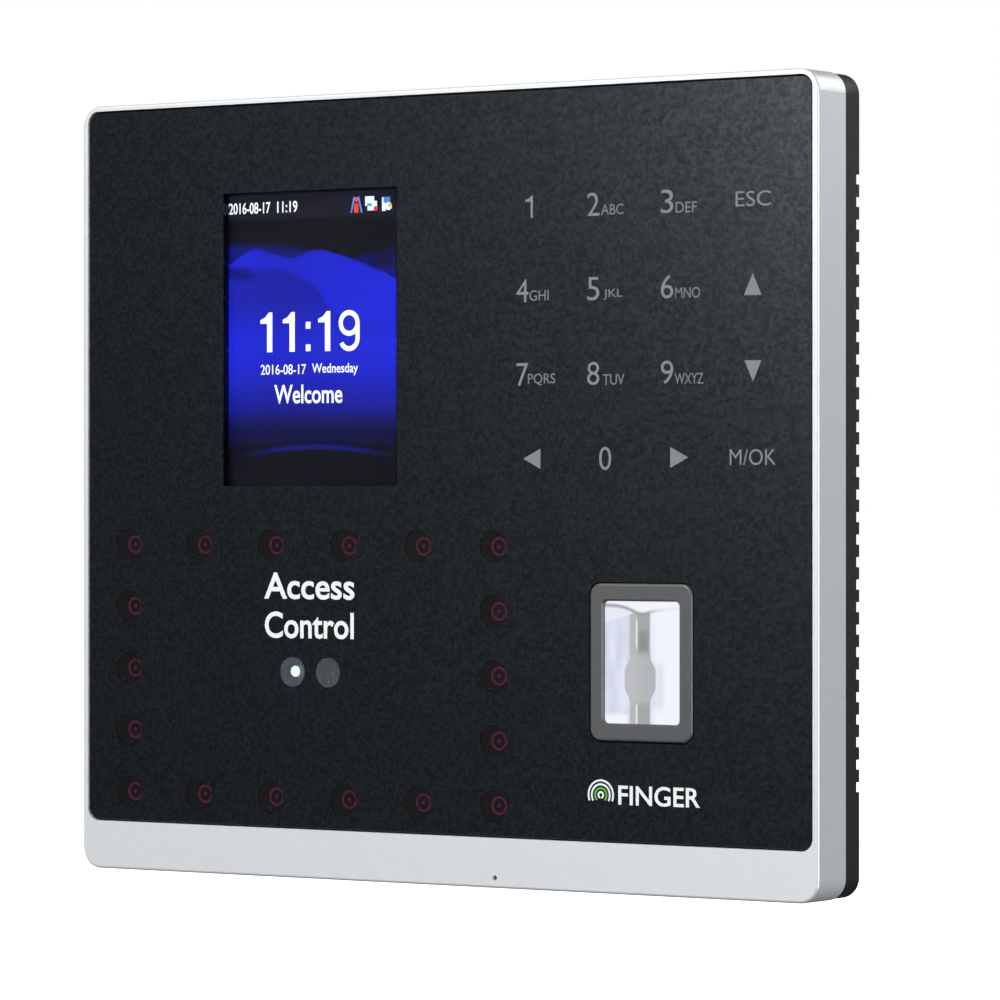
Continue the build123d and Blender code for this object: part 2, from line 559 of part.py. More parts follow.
with BuildPart() as inner_chassis:
    with BuildSketch(level(CHASSIS_BACK)):
        RectangleRounded(121.0, 143.6, 3.0)
        with Locations((FINGER_X, FINGER_Z)):
            Rectangle(HOUSING_W + 1.0, HOUSING_H + 1.4, mode=Mode.SUBTRACT)
        with Locations((SCREEN_X, DISPLAY_SLOT_Z)):
            Rectangle(DISPLAY_RIBBON_W + 2.0, 2.4, mode=Mode.SUBTRACT)
        with Locations((TOUCH_CONNECTOR_X, TOUCH_SLOT_Z)):
            Rectangle(TOUCH_RIBBON_W + 2.0, 2.4, mode=Mode.SUBTRACT)
        with Locations((-28.95, 36.0), (39.0, 39.0)):
            RectangleRounded(20.0, 24.0, 3.0, mode=Mode.SUBTRACT)
    extrude(amount=CHASSIS_BACK - CHASSIS_FRONT)
    with BuildSketch(level(BOARD_FRONT)):
        with Locations(BOARD_SCREWS):
            Circle(STANDOFF_R)
    extrude(amount=BOARD_FRONT - CHASSIS_BACK)
    with BuildSketch(level(BOARD_FRONT)):
        with Locations(BOARD_SCREWS):
            Circle(BOARD_SCREW_R + FIT)
        with Locations(CHASSIS_SCREWS):
            Circle(CHASSIS_SCREW_R + 0.2)
    extrude(amount=BOARD_FRONT - CHASSIS_FRONT, mode=Mode.SUBTRACT)
save(inner_chassis, "inner_chassis")

with BuildPart() as chassis_screws:
    with BuildSketch(level(CHASSIS_BACK + 1.4)):
        with Locations(CHASSIS_SCREWS):
            Circle(2.1)
    extrude(amount=1.4)
    chamfer(chassis_screws.edges().group_by(Axis.Y)[-1], 0.35)
    with BuildSketch(level(CHASSIS_BACK)):
        with Locations(CHASSIS_SCREWS):
            Circle(CHASSIS_SCREW_R)
    extrude(amount=5.0)
    with BuildSketch(level(CHASSIS_BACK + 1.4)):
        with Locations(CHASSIS_SCREWS):
            Rectangle(2.2, 0.5)
            Rectangle(0.5, 2.2)
    extrude(amount=0.8, mode=Mode.SUBTRACT)
save(chassis_screws, "chassis_screws")

# ================================================================ main board and what stands on it
with BuildPart() as main_board:
    with BuildSketch(level(BOARD_BACK)):
        with Locations((0, 1.0)):
            RectangleRounded(117.0, 110.0, 1.5)
        with Locations((FINGER_X + 1.0, FINGER_Z)):
            Rectangle(HOUSING_W + 2.6, HOUSING_H + 1.6, mode=Mode.SUBTRACT)
        with Locations(BOARD_SCREWS):
            Circle(BOARD_SCREW_R + 0.1, mode=Mode.SUBTRACT)
    extrude(amount=BOARD_BACK - BOARD_FRONT)
save(main_board, "main_board")

with BuildPart() as board_screws:
    with BuildSketch(level(BOARD_BACK + 1.6)):
        with Locations(BOARD_SCREWS):
            Circle(2.4)
    extrude(amount=1.6)
    chamfer(board_screws.edges().group_by(Axis.Y)[-1], 0.4)
    with BuildSketch(level(BOARD_BACK)):
        with Locations(BOARD_SCREWS):
            Circle(BOARD_SCREW_R)
    extrude(amount=3.6)
    with BuildSketch(level(BOARD_BACK + 1.6)):
        with Locations(BOARD_SCREWS):
            Rectangle(2.6, 0.6)
            Rectangle(0.6, 2.6)
    extrude(amount=0.9, mode=Mode.SUBTRACT)
save(board_screws, "board_screws")

with BuildPart() as processor:
    with BuildSketch(level(BOARD_BACK + 1.4)):
        with Locations((12.0, 14.0)):
            Rectangle(16.0, 16.0)
    extrude(amount=1.4)
    chamfer(processor.edges().group_by(Axis.Y)[-1], 0.2)
save(processor, "processor")

with BuildPart() as memory_chips:
    with BuildSketch(level(BOARD_BACK + 1.0)):
        with Locations((30.5, 14.0), (43.0, 14.0)):
            Rectangle(9.0, 13.0)
    extrude(amount=1.0)
    chamfer(memory_chips.edges().group_by(Axis.Y)[-1], 0.15)
save(memory_chips, "memory_chips")

with BuildPart() as capacitors:
    with BuildSketch(level(BOARD_BACK + 7.5)):
        with Locations((-40.0, 9.0), (-40.0, 17.0), (-32.0, 9.0), (-32.0, 17.0)):
            Circle(3.15)
    extrude(amount=7.5)
    fillet(capacitors.edges().group_by(Axis.Y)[-1], 0.5)
save(capacitors, "capacitors")

with BuildPart() as inductors:
    with BuildSketch(level(BOARD_BACK + 3.2)):
        with Locations((-21.0, 12.0), (-21.0, 21.0), (-10.0, 12.0)):
            RectangleRounded(7.3, 7.3, 1.0)
    extrude(amount=3.2)
    fillet(inductors.edges().group_by(Axis.Y)[-1], 0.4)
save(inductors, "inductors")

BATTERY_X, BATTERY_Z, BATTERY_R = -48.0, 36.0, 6.25

with BuildPart() as battery_holder:
    with BuildSketch(level(BOARD_BACK + 3.4)):
        with Locations((BATTERY_X, BATTERY_Z)):
            RectangleRounded(15.0, 15.0, 3.0)
    extrude(amount=3.4)
    with BuildSketch(level(BOARD_BACK + 3.4)):
        with Locations((BATTERY_X, BATTERY_Z)):
            Circle(BATTERY_R + 0.1)
            Rectangle(4.0, 16.0)
    extrude(amount=2.2, mode=Mode.SUBTRACT)
save(battery_holder, "battery_holder")

with BuildPart() as backup_battery:
    with BuildSketch(level(BOARD_BACK + 3.2)):
        with Locations((BATTERY_X, BATTERY_Z)):
            Circle(BATTERY_R)
    extrude(amount=2.0)
    fillet(backup_battery.edges().group_by(Axis.Y)[-1], 0.3)
save(backup_battery, "backup_battery")

with BuildPart() as buzzer:
    with BuildSketch(level(BOARD_BACK + 5.5)):
        with Locations((45.0, 38.0)):
            Circle(6.0)
    extrude(amount=5.5)
    fillet(buzzer.edges().group_by(Axis.Y)[-1], 0.5)
    with BuildSketch(level(BOARD_BACK + 5.5)):
        with Locations((45.0, 38.0)):
            Circle(1.0)
    extrude(amount=1.5, mode=Mode.SUBTRACT)
save(buzzer, "buzzer")

# ================================================================ speaker behind the right-hand vents
SPEAKER_BACK = COVER_INNER_Y - 0.1

with BuildPart() as speaker:
    with BuildSketch(level(SPEAKER_BACK)):
        with Locations((SPEAKER_X, SPEAKER_Z)):
            RectangleRounded(SPEAKER_W, SPEAKER_H, SPEAKER_W / 2 - 0.5)
    extrude(amount=3.4)
    with BuildSketch(level(SPEAKER_BACK - 3.4)):
        with Locations((SPEAKER_X, SPEAKER_Z)):
            RectangleRounded(10.0, 18.0, 1.0)
    extrude(amount=2.4)
    with BuildSketch(level(SPEAKER_BACK)):
        with Locations((SPEAKER_X, SPEAKER_Z)):
            RectangleRounded(SPEAKER_W - 1.6, SPEAKER_H - 1.6, SPEAKER_W / 2 - 1.3)
    extrude(amount=1.2, mode=Mode.SUBTRACT)
save(speaker, "speaker")

with BuildPart() as speaker_cone:
    with BuildSketch(level(SPEAKER_BACK - 0.4)):
        with Locations((SPEAKER_X, SPEAKER_Z)):
            RectangleRounded(SPEAKER_W - 1.8, SPEAKER_H - 1.8, SPEAKER_W / 2 - 1.4)
    extrude(amount=0.8)
    with BuildSketch(level(SPEAKER_BACK - 0.4)):
        with Locations((SPEAKER_X, SPEAKER_Z)):
            RectangleRounded(SPEAKER_W - 3.0, SPEAKER_H - 3.0, SPEAKER_W / 2 - 2.0)
            RectangleRounded(SPEAKER_W - 5.0, SPEAKER_H - 5.0, SPEAKER_W / 2 - 3.0, mode=Mode.SUBTRACT)
    extrude(amount=0.4, mode=Mode.SUBTRACT)
save(speaker_cone, "speaker_cone")

# ================================================================ sockets that open downwards
LAN_MOUTH_FRONT_Y, LAN_MOUTH_BACK_Y, LAN_LATCH_BACK_Y = -17.3, -10.7, -9.1
CONTACTS, CONTACT_PITCH, CONTACT_W = 8, 1.02, 0.4

with BuildPart() as network_socket:
    with BuildSketch(Plane.XY.offset(BAY_TOP)):
        with Locations((LAN_X, (BOARD_BACK + LAN_BACK_Y) / 2)):
            Rectangle(LAN_W, LAN_BACK_Y - BOARD_BACK)
    extrude(amount=LAN_LONG)
    with BuildSketch(Plane.XY.offset(BAY_TOP)):
        with Locations((LAN_X, (LAN_MOUTH_FRONT_Y + LAN_MOUTH_BACK_Y) / 2)):
            Rectangle(12.0, LAN_MOUTH_BACK_Y - LAN_MOUTH_FRONT_Y)
        with Locations((LAN_X, (LAN_MOUTH_FRONT_Y + LAN_LATCH_BACK_Y) / 2)):
            Rectangle(6.2, LAN_LATCH_BACK_Y - LAN_MOUTH_FRONT_Y)
    extrude(amount=13.5, mode=Mode.SUBTRACT)
save(network_socket, "network_socket")

with BuildPart() as network_contacts:
    for index in range(CONTACTS):
        offset_x = (index - (CONTACTS - 1) / 2) * CONTACT_PITCH
        with BuildSketch(Plane.YZ.offset(LAN_X + offset_x - CONTACT_W / 2)):
            with BuildLine():
                Polyline(
                    (LAN_MOUTH_FRONT_Y + 0.2, BAY_TOP + 1.0),
                    (LAN_MOUTH_FRONT_Y + 0.2, BAY_TOP + 3.0),
                    (LAN_MOUTH_FRONT_Y + 2.0, BAY_TOP + 9.0),
                )
            trace(line_width=0.3)
        extrude(amount=CONTACT_W)
save(network_contacts, "network_contacts")

HEADER_MOUTH_FRONT_Y, HEADER_MOUTH_BACK_Y, HEADER_MOUTH_DEEP = -17.2, -12.5, 7.0

with BuildPart() as wiring_headers:
    for x, width, pins in HEADERS:
        with BuildSketch(Plane.XY.offset(BAY_TOP)):
            with Locations((x, (BOARD_BACK + HEADER_BACK_Y) / 2)):
                Rectangle(width, HEADER_BACK_Y - BOARD_BACK)
        extrude(amount=HEADER_LONG)
        with BuildSketch(Plane.XY.offset(BAY_TOP)):
            with Locations((x, (HEADER_MOUTH_FRONT_Y + HEADER_MOUTH_BACK_Y) / 2)):
                Rectangle(width - 1.6, HEADER_MOUTH_BACK_Y - HEADER_MOUTH_FRONT_Y)
        extrude(amount=HEADER_MOUTH_DEEP, mode=Mode.SUBTRACT)
save(wiring_headers, "wiring_headers")

with BuildPart() as header_pins:
    for x, width, pins in HEADERS:
        with BuildSketch(Plane.XY.offset(BAY_TOP + 0.8)):
            with Locations((x, (HEADER_MOUTH_FRONT_Y + HEADER_MOUTH_BACK_Y) / 2)):
                with GridLocations(HEADER_PITCH, 1.0, pins, 1):
                    Rectangle(PIN, PIN)
        extrude(amount=HEADER_MOUTH_DEEP - 0.8)
save(header_pins, "header_pins")

USB_MID_Y = (USB_FRONT_Y + USB_BACK_Y) / 2
USB_WALL = 0.4

with BuildPart() as usb_socket:
    with BuildSketch(Plane.XY.offset(USB_LOW_Z)):
        with Locations((USB_X, USB_MID_Y)):
            RectangleRounded(USB_W, USB_BACK_Y - USB_FRONT_Y, 0.6)
            Rectangle(USB_W - 2 * USB_WALL, USB_BACK_Y - USB_FRONT_Y - 2 * USB_WALL, mode=Mode.SUBTRACT)
    extrude(amount=USB_LONG)
save(usb_socket, "usb_socket")

with BuildPart() as usb_insert:
    # riser on the board, block behind the shell, and the tongue inside it
    with BuildSketch(Plane.YZ.offset(USB_X - 6.0)):
        with BuildLine():
            Polyline(
                (BOARD_BACK, -53.5),
                (USB_FRONT_Y - FIT, -53.5),
                (USB_FRONT_Y - FIT, USB_LOW_Z + USB_LONG + FIT),
                (USB_MID_Y - 1.9, USB_LOW_Z + USB_LONG + FIT),
                (USB_MID_Y - 1.9, USB_LOW_Z + 1.5),
                (USB_MID_Y - 0.1, USB_LOW_Z + 1.5),
                (USB_MID_Y - 0.1, USB_LOW_Z + USB_LONG + FIT),
                (USB_BACK_Y, USB_LOW_Z + USB_LONG + FIT),
                (USB_BACK_Y, USB_LOW_Z + USB_LONG + 2.5),
                (BOARD_BACK, USB_LOW_Z + USB_LONG + 2.5),
                close=True,
            )
        make_face()
    extrude(amount=12.0)
save(usb_insert, "usb_insert")

# ================================================================ reset switch and tamper switch
RESET_BODY_BACK, RESET_BUTTON_R, RESET_TIP_Y = BOARD_BACK + 3.5, 1.75, -8.0
TAMPER_BODY_BACK, TAMPER_STEM_R, TAMPER_FLANGE_R = -11.5, 2.0, 2.9
TAMPER_TIP_Y, TAMPER_CAP = -0.2, 1.4

with BuildPart() as reset_switch:
    with BuildSketch(level(RESET_BODY_BACK)):
        with Locations((RESET_X, RESET_Z)):
            RectangleRounded(6.0, 6.0, 0.4)
    extrude(amount=RESET_BODY_BACK - BOARD_BACK)
    with BuildSketch(level(RESET_BODY_BACK)):
        with Locations((RESET_X, RESET_Z)):
            Circle(RESET_BUTTON_R + 0.1)
    extrude(amount=1.8, mode=Mode.SUBTRACT)
save(reset_switch, "reset_switch")

with BuildPart() as reset_button:
    with BuildSketch(level(RESET_TIP_Y)):
        with Locations((RESET_X, RESET_Z)):
            Circle(RESET_BUTTON_R)
    extrude(amount=RESET_TIP_Y - (RESET_BODY_BACK - 1.2))
    chamfer(reset_button.edges().group_by(Axis.Y)[-1], 0.3)
save(reset_button, "reset_button")

with BuildPart() as tamper_switch:
    with BuildSketch(level(TAMPER_BODY_BACK)):
        with Locations((TAMPER_X, TAMPER_Z)):
            RectangleRounded(9.0, 9.0, 0.8)
    extrude(amount=TAMPER_BODY_BACK - BOARD_BACK)
    with BuildSketch(level(TAMPER_BODY_BACK)):
        with Locations((TAMPER_X, TAMPER_Z)):
            Circle(TAMPER_STEM_R + 0.1)
    extrude(amount=TAMPER_CAP, mode=Mode.SUBTRACT)
    with BuildSketch(level(TAMPER_BODY_BACK - TAMPER_CAP)):
        with Locations((TAMPER_X, TAMPER_Z)):
            Circle(TAMPER_FLANGE_R + 0.2)
    extrude(amount=3.6, mode=Mode.SUBTRACT)
save(tamper_switch, "tamper_switch")

with BuildPart() as tamper_plunger:
    with BuildSketch(level(TAMPER_TIP_Y)):
        with Locations((TAMPER_X, TAMPER_Z)):
            Circle(TAMPER_STEM_R)
    extrude(amount=TAMPER_TIP_Y - (TAMPER_BODY_BACK - TAMPER_CAP - 1.1))
    fillet(tamper_plunger.edges().group_by(Axis.Y)[-1], 0.8)
    with BuildSketch(level(TAMPER_BODY_BACK - TAMPER_CAP - 0.1)):
        with Locations((TAMPER_X, TAMPER_Z)):
            Circle(TAMPER_FLANGE_R)
    extrude(amount=1.0)
save(tamper_plunger, "tamper_plunger")

# ================================================================ black rear cover
RIM_W, RIM_H, RIM_R = WIDTH - 2 * RIM_INSET, HEIGHT - 2 * RIM_INSET, CORNER_R - RIM_INSET
LIP_FRONT_Y, LIP_WALL = SEAM_Y - 1.2, 1.0
GROOVE_LEFT, GROOVE_RIGHT, GROOVE_Y = 14.0, 28.0, -11.5  # cable way out of the wiring bay
INSERT_R, INSERT_TALL = 2.4, 5.5
SIDE = RIM_W / 2 - COVER_THICK

with BuildPart() as rear_cover:
    # shallow tray with a rounded rear edge
    with BuildSketch(level(REAR_Y)):
        RectangleRounded(RIM_W, RIM_H, RIM_R)
    extrude(amount=RIM_DEPTH - FIT)
    fillet(rear_cover.edges().group_by(Axis.Y)[-1], RIM_EDGE_R)
    with BuildSketch(level(COVER_INNER_Y)):
        RectangleRounded(RIM_W - 2 * COVER_THICK, RIM_H - 2 * COVER_THICK, RIM_R - COVER_THICK)
    extrude(amount=DEPTH, mode=Mode.SUBTRACT)
    # lip that locates in the silver frame
    with BuildSketch(level(COVER_INNER_Y)):
        RectangleRounded(INNER_W - 0.2, INNER_H - 0.2, CORNER_R - WALL - 0.1)
        RectangleRounded(INNER_W - 0.2 - 2 * LIP_WALL, INNER_H - 0.2 - 2 * LIP_WALL, 1.5, mode=Mode.SUBTRACT)
    extrude(amount=COVER_INNER_Y - LIP_FRONT_Y)
    # deep box
    with BuildSketch(level(BOX_REAR_Y)):
        with Locations((0, BOX_MID)):
            RectangleRounded(BOX_W, BOX_H, 4.0)
    extrude(amount=BOX_REAR_Y - COVER_INNER_Y)
    chamfer(rear_cover.edges().group_by(Axis.Y)[-1], 0.8)
    with BuildSketch(level(FLOOR_INNER_Y)):
        with Locations((0, BOX_MID)):
            RectangleRounded(BOX_W - 2 * COVER_THICK, BOX_H - 2 * COVER_THICK, 2.0)
    extrude(amount=FLOOR_INNER_Y - COVER_INNER_Y, mode=Mode.SUBTRACT)
    # recess for the wall plate, open at the bottom
    with BuildSketch(level(BOX_REAR_Y)):
        with Locations((0, (RECESS_TOP + BOX_BOTTOM) / 2 - 2.5)):
            Rectangle(RECESS_W, RECESS_TOP - BOX_BOTTOM + 5.0)
    extrude(amount=BOX_REAR_Y - FLOOR_Y, mode=Mode.SUBTRACT)
    # wiring bay with its groove for the cables and the block for the locking screw
    with BuildSketch(level(FLOOR_INNER_Y)):
        with Locations((BAY_X, BAY_Z)):
            Rectangle(BAY_W + 2 * BAY_WALL, BAY_H + 2 * BAY_WALL)
    extrude(amount=FLOOR_INNER_Y - (BAY_FLOOR_Y - BAY_WALL))
    with BuildSketch(level(FLOOR_INNER_Y)):
        with Locations(((GROOVE_LEFT + GROOVE_RIGHT) / 2, (BAY_BOTTOM + BOX_BOTTOM) / 2 + 0.5)):
            Rectangle(GROOVE_RIGHT - GROOVE_LEFT + 2 * BAY_WALL, BAY_BOTTOM - BOX_BOTTOM - 1.0)
    extrude(amount=FLOOR_INNER_Y - (GROOVE_Y - BAY_WALL))
    with BuildSketch(level(FLOOR_INNER_Y)):
        with Locations((LOCK_X, (BAY_BOTTOM + BOX_BOTTOM) / 2 + 0.5)):
            Rectangle(10.0, BAY_BOTTOM - BOX_BOTTOM - 1.0)
    extrude(amount=FLOOR_INNER_Y - (LOCK_Y - 4.5))
    with BuildSketch(level(FLOOR_Y)):
        with Locations((BAY_X, BAY_Z)):
            Rectangle(BAY_W, BAY_H)
    extrude(amount=FLOOR_Y - BAY_FLOOR_Y, mode=Mode.SUBTRACT)
    with BuildSketch(level(FLOOR_Y)):
        with Locations(((GROOVE_LEFT + GROOVE_RIGHT) / 2, (BAY_BOTTOM + BOX_BOTTOM) / 2 - 0.5)):
            Rectangle(GROOVE_RIGHT - GROOVE_LEFT, BAY_BOTTOM - BOX_BOTTOM + 1.0)
    extrude(amount=FLOOR_Y - GROOVE_Y, mode=Mode.SUBTRACT)
    # windows of the sockets in the bay's upper wall, and of the USB socket in the bottom wall
    with BuildSketch(Plane.XY.offset(BAY_TOP)):
        with Locations((LAN_X, (-19.5 + LAN_BACK_Y + 0.1) / 2)):
            Rectangle(LAN_W + 0.3, LAN_BACK_Y + 0.1 + 19.5)
        for x, width, pins in HEADERS:
            with Locations((x, (-19.5 + HEADER_BACK_Y + 0.15) / 2)):
                Rectangle(width + 0.3, HEADER_BACK_Y + 0.15 + 19.5)
    extrude(amount=BAY_WALL, mode=Mode.SUBTRACT)
    with BuildSketch(Plane.XY.offset(BOX_BOTTOM)):
        with Locations((USB_X, USB_MID_Y)):
            Rectangle(USB_W + 0.3, USB_BACK_Y - USB_FRONT_Y + 0.3)
    extrude(amount=COVER_THICK, mode=Mode.SUBTRACT)
    # hook slots, and holes for the tamper plunger and the reset pin
    with BuildSketch(level(FLOOR_Y)):
        for x, z in HOOKS:
            with Locations((x, z + 1.55 - 5.25)):
                Rectangle(HOOK_W + 1.0, 10.5)
        with Locations((TAMPER_X, TAMPER_Z)):
            Circle(TAMPER_STEM_R + 0.3)
        with Locations((RESET_X, RESET_Z)):
            Circle(1.0)
    extrude(amount=COVER_THICK, mode=Mode.SUBTRACT)
    # posts for the cover screws and the rib round the speaker
    with BuildSketch(level(COVER_INNER_Y)):
        with Locations(COVER_SCREWS):
            Circle(4.0)
        with Locations((SPEAKER_X, SPEAKER_Z)):
            RectangleRounded(SPEAKER_W + 2.2, SPEAKER_H + 2.2, SPEAKER_W / 2 + 0.5)
            RectangleRounded(SPEAKER_W + 0.3, SPEAKER_H + 0.3, SPEAKER_W / 2 - 0.4, mode=Mode.SUBTRACT)
    extrude(amount=COVER_INNER_Y - SEAM_Y + 0.1)
    # counterbored screw holes
    with BuildSketch(level(REAR_Y)):
        with Locations(COVER_SCREWS):
            Circle(2.9)
    extrude(amount=2.2, mode=Mode.SUBTRACT)
    with BuildSketch(level(REAR_Y)):
        with Locations(COVER_SCREWS):
            Circle(1.6)
    extrude(amount=RIM_DEPTH + 1.0, mode=Mode.SUBTRACT)
    # hole for the brass insert, from below
    with BuildSketch(Plane.XY.offset(BOX_BOTTOM)):
        with Locations((LOCK_X, LOCK_Y)):
            Circle(INSERT_R + FIT)
    extrude(amount=INSERT_TALL + 0.2, mode=Mode.SUBTRACT)
    # vents: slots through the rear plane that end as notches in the side edge
    with BuildSketch(level(REAR_Y)):
        for side in (-1, 1):
            with Locations((side * (VENT_INNER_X + SIDE - 0.8) / 2, VENT_MID)):
                with GridLocations(1.0, VENT_PITCH, 1, VENTS):
                    Rectangle(SIDE - 0.8 - VENT_INNER_X, VENT_W)
    extrude(amount=COVER_THICK, mode=Mode.SUBTRACT)
    with BuildSketch(level(REAR_Y)):
        for side in (-1, 1):
            with Locations((side * (SIDE + 1.0), VENT_MID)):
                with GridLocations(1.0, VENT_PITCH, 1, VENTS):
                    Rectangle(4.0, VENT_W)
    extrude(amount=1.4, mode=Mode.SUBTRACT)
save(rear_cover, "rear_cover")

with BuildPart() as cover_screws:
    with BuildSketch(level(REAR_Y - 0.3)):
        with Locations(COVER_SCREWS):
            Circle(2.7)
    extrude(amount=1.9)
    chamfer(cover_screws.edges().group_by(Axis.Y)[-1], 0.4)
    with BuildSketch(level(REAR_Y - 2.2)):
        with Locations(COVER_SCREWS):
            Circle(1.45)
    extrude(amount=8.0)
    with BuildSketch(level(REAR_Y - 0.3)):
        with Locations(COVER_SCREWS):
            Rectangle(3.0, 0.7)
            Rectangle(0.7, 3.0)
    extrude(amount=1.0, mode=Mode.SUBTRACT)
save(cover_screws, "cover_screws")

with BuildPart() as locking_insert:
    with BuildSketch(Plane.XY.offset(BOX_BOTTOM + 0.05)):
        with Locations((LOCK_X, LOCK_Y)):
            Circle(INSERT_R)
            Circle(1.5, mode=Mode.SUBTRACT)
    extrude(amount=INSERT_TALL)
save(locking_insert, "locking_insert")

# ================================================================ steel wall plate and its locking screw
PLATE_W, PLATE_TOP, PLATE_BOTTOM = 110.0, 54.0, -56.0
PLATE_MID_Y = -PLATE_THICK / 2
TAB_TOP_Z, TAB_FRONT_Y, TAB_W = -58.3, -13.5, 16.0
LANCE_TALL = 16.0
HOOK_MID_Y = HOOK_FRONT_Y + PLATE_THICK / 2

with BuildPart() as wall_plate:
    with BuildSketch(level(0)):
        with Locations((0, (PLATE_TOP + PLATE_BOTTOM) / 2)):
            RectangleRounded(PLATE_W, PLATE_TOP - PLATE_BOTTOM, 4.0)
        with GridLocations(WALL_SPACING_X, WALL_SPACING_Z, 2, 2):
            Circle(WALL_HOLE_R, mode=Mode.SUBTRACT)
        with Locations((BAY_X, BAY_Z)):
            RectangleRounded(BAY_W - 12.0, BAY_H - 4.0, 3.0, mode=Mode.SUBTRACT)
        with Locations((TAMPER_X, TAMPER_Z + LIFT / 2)):
            SlotOverall(LIFT + 8.0, 6.0, rotation=90, mode=Mode.SUBTRACT)
        for x, z in HOOKS:
            with Locations((x, z + LANCE_TALL / 2)):
                Rectangle(HOOK_W + 0.6, LANCE_TALL, mode=Mode.SUBTRACT)
    extrude(amount=PLATE_THICK)
    # each hook is a strip bent forwards and then up
    for x, z in HOOKS:
        with BuildSketch(Plane.YZ.offset(x - HOOK_W / 2)):
            with BuildLine():
                FilletPolyline(
                    (PLATE_MID_Y, z - 2.0),
                    (PLATE_MID_Y, z + PLATE_THICK / 2),
                    (HOOK_MID_Y, z + PLATE_THICK / 2),
                    (HOOK_MID_Y, z + HOOK_TALL),
                    radius=1.0,
                )
            trace(line_width=PLATE_THICK)
        extrude(amount=HOOK_W)
    # bottom tab, bent forwards under the terminal
    with BuildSketch(Plane.YZ.offset(LOCK_X - TAB_W / 2)):
        with BuildLine():
            FilletPolyline(
                (PLATE_MID_Y, PLATE_BOTTOM + 6.0),
                (PLATE_MID_Y, TAB_TOP_Z - PLATE_THICK / 2),
                (TAB_FRONT_Y, TAB_TOP_Z - PLATE_THICK / 2),
                radius=1.0,
            )
        trace(line_width=PLATE_THICK)
    extrude(amount=TAB_W)
    with BuildSketch(Plane.XY.offset(TAB_TOP_Z - PLATE_THICK)):
        with Locations((LOCK_X, LOCK_Y)):
            Circle(1.6)
    extrude(amount=PLATE_THICK, mode=Mode.SUBTRACT)
save(wall_plate, "wall_plate")

LOCK_HEAD_TOP = TAB_TOP_Z - PLATE_THICK - 0.03

with BuildPart() as locking_screw:
    with BuildSketch(Plane.XY.offset(LOCK_HEAD_TOP - 2.2)):
        with Locations((LOCK_X, LOCK_Y)):
            Circle(2.9)
    extrude(amount=2.2)
    fillet(locking_screw.edges().group_by(Axis.Z)[0], 0.8)
    with BuildSketch(Plane.XY.offset(LOCK_HEAD_TOP)):
        with Locations((LOCK_X, LOCK_Y)):
            Circle(1.45)
    extrude(amount=6.4)
    chamfer(locking_screw.edges().group_by(Axis.Z)[-1], 0.3)
    with BuildSketch(Plane.XY.offset(LOCK_HEAD_TOP - 2.2)):
        with Locations((LOCK_X, LOCK_Y)):
            Rectangle(3.0, 0.7)
            Rectangle(0.7, 3.0)
    extrude(amount=1.2, mode=Mode.SUBTRACT)
save(locking_screw, "locking_screw")
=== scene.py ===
"""Finishes, screen picture, printed legends and stage of a wall-mounted fingerprint scanner terminal."""

import math

import bmesh
import bpy
from bpy.props import FloatProperty, FloatVectorProperty, PointerProperty, StringProperty
from mathutils import Matrix, Vector


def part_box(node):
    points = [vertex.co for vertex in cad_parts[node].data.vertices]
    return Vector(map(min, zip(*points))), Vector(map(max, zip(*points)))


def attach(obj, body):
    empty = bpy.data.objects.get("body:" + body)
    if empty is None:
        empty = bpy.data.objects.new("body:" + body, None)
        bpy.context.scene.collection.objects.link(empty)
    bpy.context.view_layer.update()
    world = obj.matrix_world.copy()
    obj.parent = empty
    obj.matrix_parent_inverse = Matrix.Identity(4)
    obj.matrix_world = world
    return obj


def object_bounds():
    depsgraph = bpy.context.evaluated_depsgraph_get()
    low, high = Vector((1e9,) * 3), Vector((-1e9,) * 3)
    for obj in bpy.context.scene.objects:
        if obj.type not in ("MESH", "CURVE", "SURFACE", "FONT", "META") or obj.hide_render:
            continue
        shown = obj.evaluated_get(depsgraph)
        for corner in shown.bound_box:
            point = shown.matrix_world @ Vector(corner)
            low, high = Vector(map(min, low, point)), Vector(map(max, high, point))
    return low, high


bl_info = {
    "name": "Fingerprint Scanner Terminal",
    "version": (1, 0, 0),
    "blender": (4, 5, 0),
    "location": "3D View > Sidebar > Terminal",
    "description": "Finishes, screen picture, legends and stage of a wall-mounted fingerprint terminal",
    "category": "Object",
}

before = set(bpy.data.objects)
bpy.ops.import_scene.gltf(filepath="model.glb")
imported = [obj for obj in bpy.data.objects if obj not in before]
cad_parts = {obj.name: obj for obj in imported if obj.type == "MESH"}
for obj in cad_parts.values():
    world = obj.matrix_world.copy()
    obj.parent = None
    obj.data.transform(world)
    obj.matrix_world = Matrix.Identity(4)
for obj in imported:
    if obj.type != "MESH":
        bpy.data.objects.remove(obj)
CAD_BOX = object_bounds()

MM = 0.001
STAND_UP = Matrix.Rotation(math.pi / 2, 4, "X")  # flat work drawn in XY then faces the front
FULL_TURN = 2 * math.pi
FOREGROUND = "terminal"  # the body that every new piece rides on


# ---------------------------------------------------------------- places taken from the frame
def front_of(node):
    """How far forward a CAD node reaches, in millimetres along Y."""
    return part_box(node)[0].y / MM


def centre_of(node):
    """Middle of a CAD node's box, in millimetres."""
    low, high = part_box(node)
    return (low + high) / (2 * MM)


PANEL_FACE = front_of("front_panel")
SCREEN_FACE = front_of("display_glass")
LAMP_TIP = front_of("ir_leds")
READER = centre_of("fingerprint_prism")

PICTURE_LEFT = 1.03  # how far the lit area lies left of the display cell's middle
PICTURE_DOWN = 0.14  # how far it lies below
LIT_THICKNESS = 0.02  # thickness of the lit words and signs
LAYER_STEP = 0.003  # how far each overlapping shape stands in front of the last

